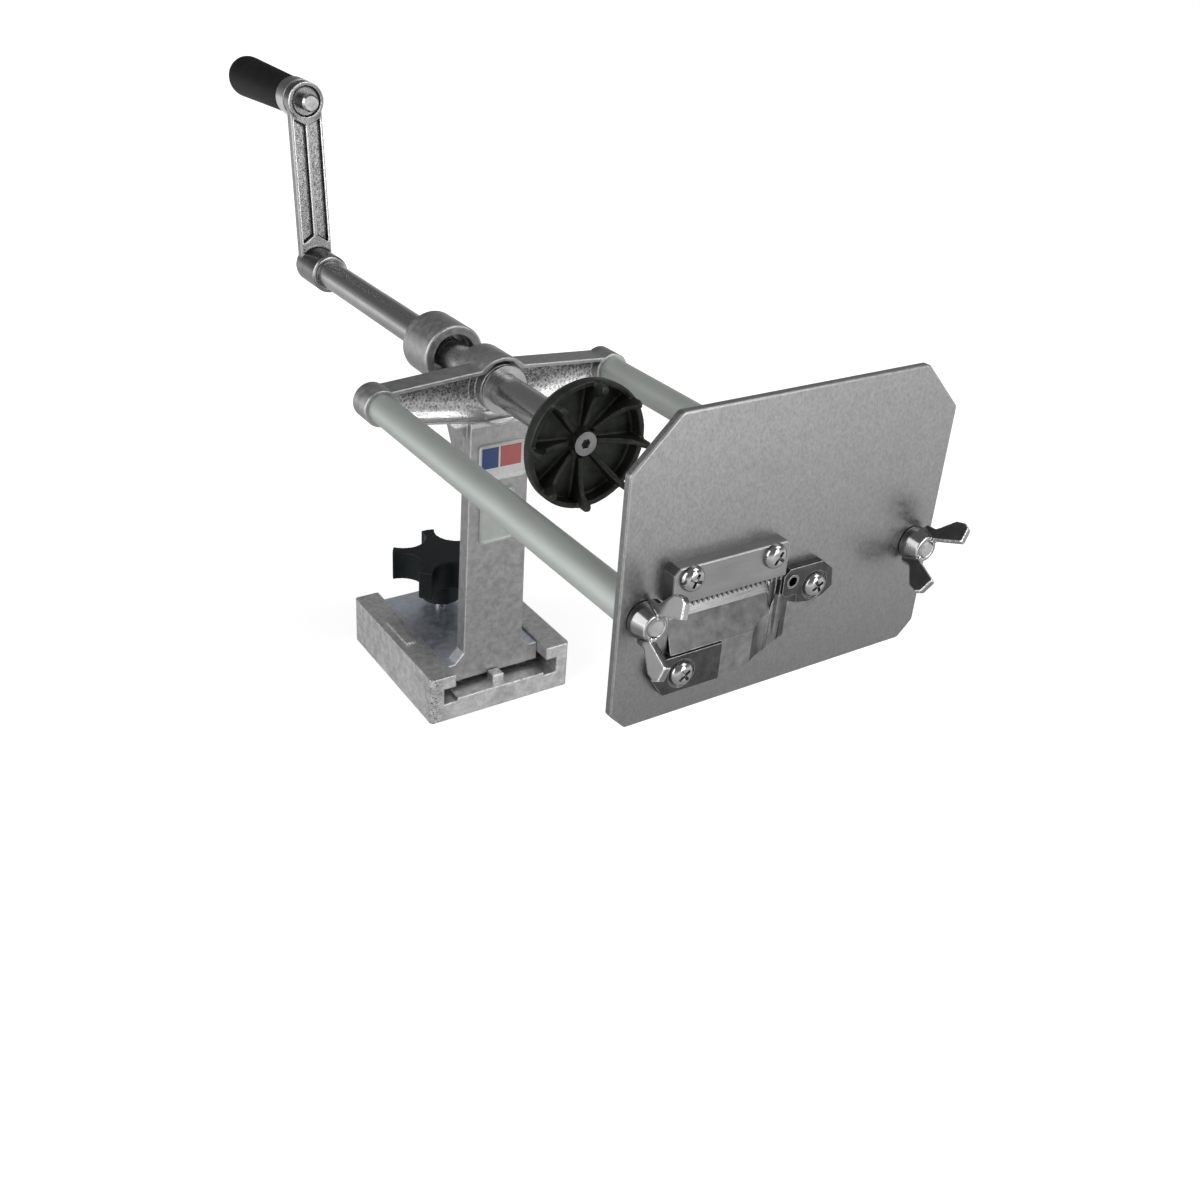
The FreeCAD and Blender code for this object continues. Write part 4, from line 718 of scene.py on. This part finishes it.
FINISHES = {
    "cast_metal": cast_metal(),
    "face_sheet": face_sheet(),
    "rod_metal": rod_metal(),
    "shaft_steel": shaft_steel(),
    "blade_steel": turned_steel("blade_steel", 0.16, 0.24, 0.26),
    "bush_steel": turned_steel("bush_steel", 0.36, 0.50, 0.28),
    "cup_metal": cup_metal(),
    "screw_steel": bright_metal("screw_steel", 0.38, 0.08),
    "nut_metal": bright_metal("nut_metal", 0.28, 0.17, painted_rim_light=True),
    "grip_black": black_plastic("grip_black", grey(0.006), grey(0.014), smooth=0.50, rough=0.62,
                                scale=700.0, shine=0.06),
    "knob_black": black_plastic("knob_black", (0.005, 0.008, 0.009), (0.012, 0.015, 0.016), smooth=0.38,
                                rough=0.5, scale=1100.0, shine=0.18),
}
SPECIAL = {
    "crank_arm": crank_metal(),
    "comb_bar": bar_metal(),
    "blade_holder": holder_metal(),
    "channel_base": base_metal(),
    "stop_peg": base_metal(),
    "cup_bolt": turned_steel("bolt_steel", 0.20, 0.30, 0.38),
}


def finish_of(node):
    """A node's own finish, or else the one of its material slot."""
    return SPECIAL.get(node, FINISHES[SLOT_OF[node]])


def dress(piece, material):
    """Gives a piece one material all over."""
    piece.data.materials.clear()
    piece.data.materials.append(material)


for name, node in NODES.items():
    for slot in node.material_slots:
        slot.material = finish_of(name)


# ---------------------------------------------------------------- softened castings and mouldings

SOFT_PIECES = (         # node, voxel size, smoothing passes
    ("star_knob", 0.6 * MM, 8),
    ("left_wing_nut", 0.3 * MM, 12),
    ("right_wing_nut", 0.3 * MM, 12),
    ("crank_arm", 0.5 * MM, 3),
    ("gripping_cup", 0.6 * MM, 3),
    ("crank_grip", 0.8 * MM, 30),
)
EDGED_PIECES = (        # node, width of the eased edge
    ("frame_casting", 0.7 * MM),
    ("channel_base", 0.9 * MM),
    ("face_plate", 0.5 * MM),
    ("blade_holder", 0.35 * MM),
)
for node, voxel, passes in SOFT_PIECES:
    dress(softened(node, node + "_cast", voxel, passes), finish_of(node))
EDGE_FINISH = worn_edge()
for node, width in EDGED_PIECES:
    edged(node, node + "_eased", width, finish_of(node), EDGE_FINISH)


# ---------------------------------------------------------------- screws

def merge(pieces, name):
    """Joins pieces into the first one."""
    bpy.ops.object.select_all(action="DESELECT")
    for piece in pieces:
        piece.select_set(True)
    bpy.context.view_layer.objects.active = pieces[0]
    bpy.ops.object.join()
    pieces[0].name = name
    return settle(pieces[0])


def cylinder(radius, front, back, x, z, sides=64):
    """A cylinder along Y between two depths."""
    bpy.ops.mesh.primitive_cylinder_add(vertices=sides, radius=radius, depth=back - front,
                                        location=(x, (front + back) / 2, z), rotation=(math.pi / 2, 0, 0))
    return settle(bpy.context.active_object)


def carve(piece, tool):
    """Cuts one piece out of another and removes the cutter."""
    modify(piece, "BOOLEAN", operation="DIFFERENCE", object=tool, solver="EXACT")
    bpy.data.objects.remove(tool)


def pan_screw(x, z, front, back, turn):
    """A domed head with a cross recess and its plain shank."""
    seat = front + HEAD_HEIGHT
    head = cylinder(HEAD_RADIUS, front, seat, x, z)
    rim = head.vertex_groups.new(name="rim")
    rim.add([vertex.index for vertex in head.data.vertices if vertex.co.y < front + 0.01 * MM], 1, "REPLACE")
    modify(head, "BEVEL", width=HEAD_HEIGHT * 0.94, segments=14, profile=0.5, limit_method="VGROUP",
           vertex_group="rim", use_clamp_overlap=False)
    for angle in (turn, turn + 90):
        bpy.ops.mesh.primitive_cube_add(size=1, location=(x, front, z), rotation=(0, math.radians(angle), 0))
        slot = bpy.context.active_object
        slot.scale = (HEAD_RADIUS * 1.12, HEAD_HEIGHT * 1.1, HEAD_RADIUS * 0.25)
        carve(head, settle(slot))
    modify(head, "BEVEL", width=0.12 * MM, segments=2, limit_method="ANGLE", angle_limit=math.radians(50))
    shade(head, 40)
    return [head, cylinder(SHANK_RADIUS, seat, back, x, z, 32)]


def make_screws(node, name, turns):
    """Two pan head screws in opposite corners of their CAD node's box."""
    low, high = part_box(node)
    left = (low.x + HEAD_RADIUS, low.z + HEAD_RADIUS)
    right = (high.x - HEAD_RADIUS, high.z - HEAD_RADIUS)
    parts = []
    for (x, z), turn in zip((left, right), turns):
        parts += pan_screw(x, z, low.y, high.y, turn)
    piece = merge(parts, name)
    dress(piece, finish_of(node))
    fit(piece, NODES[node]["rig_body"], SLOT_OF[node], node)


make_screws("comb_screws", "comb_screws_turned", (24, 35))
make_screws("holder_screws", "holder_screws_turned", (52, 62))


# ---------------------------------------------------------------- labels on the column

def make_label(name, area, material):
    """A thin rounded sticker on the column's front, bare or with plain panels."""
    left, right, low, high = area
    middle = ((left + right) / 2, COLUMN_FRONT - LABEL_THICK / 2, (low + high) / 2)
    bpy.ops.mesh.primitive_cube_add(size=1, location=middle)
    label = bpy.context.active_object
    label.name = name
    label.scale = (right - left, LABEL_THICK, high - low)
    settle(label)
    edit(label)
    bpy.ops.mesh.select_all(action="DESELECT")
    leave_edit()
    for edge in label.data.edges:
        ends = [label.data.vertices[index].co for index in edge.vertices]
        edge.select = abs(ends[0].y - ends[1].y) > LABEL_THICK / 2
    bpy.ops.object.mode_set(mode="EDIT")
    bpy.ops.mesh.bevel(offset=LABEL_CORNER, segments=6)
    leave_edit()
    shade(label, 30)
    dress(label, material)
    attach(label, NODES["frame_casting"]["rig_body"])


make_label("upper_label", UPPER_LABEL, label_print())
make_label("lower_label", LOWER_LABEL, label_foil())


# ---------------------------------------------------------------- studio

def make_floor():
    """A pale floor that runs out to plain white and keeps the object's shadow."""
    bpy.ops.mesh.primitive_plane_add(size=FLOOR_SIZE, location=(0, 0, 0))
    floor = bpy.context.active_object
    floor.name = "studio_floor"
    material = bpy.data.materials.new("studio_floor")
    material.use_nodes = True
    tree = material.node_tree
    shader = tree.nodes["Principled BSDF"]
    shader.inputs["Base Color"].default_value = (0.60, 0.60, 0.60, 1)
    shader.inputs["Roughness"].default_value = 0.9
    shader.inputs["Specular IOR Level"].default_value = 0.0
    away = add(tree, "VectorMath", operation="LENGTH")
    tree.links.new(add(tree, "TexCoord").outputs["Object"], away.inputs[0])
    plain_white = stretch(tree, away.outputs["Value"], 0.20, 0.7, 0.66, 1.0)
    metal_white = stretch(tree, away.outputs["Value"], 0.40, 1.3, 0.10, 1.0)
    path = add(tree, "LightPath")
    mirrored = maths(tree, "MAXIMUM", path.outputs["Is Glossy Ray"], path.outputs["Is Transmission Ray"])
    white = maths(tree, "ADD", maths(tree, "MULTIPLY", path.outputs["Is Camera Ray"], plain_white),
                  maths(tree, "MULTIPLY", mirrored, metal_white), clamp=True)
    glow = add(tree, "Emission")
    glow.inputs["Color"].default_value = (1, 1, 1, 1)
    tree.links.new(white, glow.inputs["Strength"])
    total = add(tree, "AddShader")
    tree.links.new(shader.outputs[0], total.inputs[0])
    tree.links.new(glow.outputs[0], total.inputs[1])
    tree.links.new(total.outputs[0], tree.nodes["Material Output"].inputs["Surface"])
    dress(floor, material)


def make_world():
    """White to the camera; in metal it is white at the horizon and dims towards the ceiling."""
    world = bpy.data.worlds.new("studio_world")
    bpy.context.scene.world = world
    world.use_nodes = True
    tree = world.node_tree
    background = tree.nodes["Background"]
    path = add(tree, "LightPath")
    split = add(tree, "SeparateXYZ")
    tree.links.new(add(tree, "TexCoord").outputs["Generated"], split.inputs[0])
    ceiling = stretch(tree, split.outputs["Z"], 0.0, 0.30, 1.0, 0.28)
    behind = stretch(tree, split.outputs["Y"], 0.70, 0.92, 1.0, 0.45)
    dimmed = maths(tree, "MULTIPLY", ceiling, behind)
    strength = maths(tree, "MAXIMUM", path.outputs["Is Camera Ray"], dimmed)
    background.inputs["Color"].default_value = (1, 1, 1, 1)
    tree.links.new(strength, background.inputs["Strength"])


def make_lamp(name, place, aim, size, power, tall=None):
    """A soft area lamp turned towards its aim."""
    lamp = bpy.data.lights.new(name, "AREA")
    lamp.shape = "RECTANGLE"
    lamp.size = size
    lamp.size_y = tall or size
    lamp.energy = power
    holder = bpy.data.objects.new(name, lamp)
    bpy.context.scene.collection.objects.link(holder)
    holder.location = place
    holder.rotation_mode = "QUATERNION"
    holder.rotation_quaternion = (Vector(aim) - Vector(place)).to_track_quat("-Z", "Y")


def make_camera():
    """Seen from the left front and above."""
    place = (-0.34119, -0.62612, 0.46206)
    azimuth, elevation, roll = (math.radians(angle) for angle in (-33.176, 27.971, -3.301))
    back = Vector((math.sin(azimuth) * math.cos(elevation), -math.cos(azimuth) * math.cos(elevation),
                   math.sin(elevation)))
    right = Vector((math.cos(azimuth), math.sin(azimuth), 0))
    up = back.cross(right)
    turned_right = math.cos(roll) * right - math.sin(roll) * up
    turned_up = math.sin(roll) * right + math.cos(roll) * up
    data = bpy.data.cameras.new("camera")
    data.sensor_width = 36
    data.lens = 38.484
    data.shift_x = 0.04
    data.shift_y = -0.04
    data.clip_start = 0.01
    data.clip_end = 50
    camera = bpy.data.objects.new("camera", data)
    bpy.context.scene.collection.objects.link(camera)
    basis = Matrix((turned_right, turned_up, back)).transposed().to_4x4()
    camera.matrix_world = Matrix.Translation(place) @ basis
    bpy.context.scene.camera = camera


make_floor()
make_world()
make_lamp("key", (-1.35, -0.15, 0.75), (0, -0.05, 0.1), size=1.3, power=14)
make_lamp("front", (0.3, -1.15, 0.42), (-0.04, -0.25, 0.2), size=0.4, tall=0.7, power=4)
make_lamp("top", (0.55, -0.75, 1.1), (0, -0.1, 0.2), size=0.7, power=4)
make_camera()
bpy.context.scene.view_settings.view_transform = "Standard"
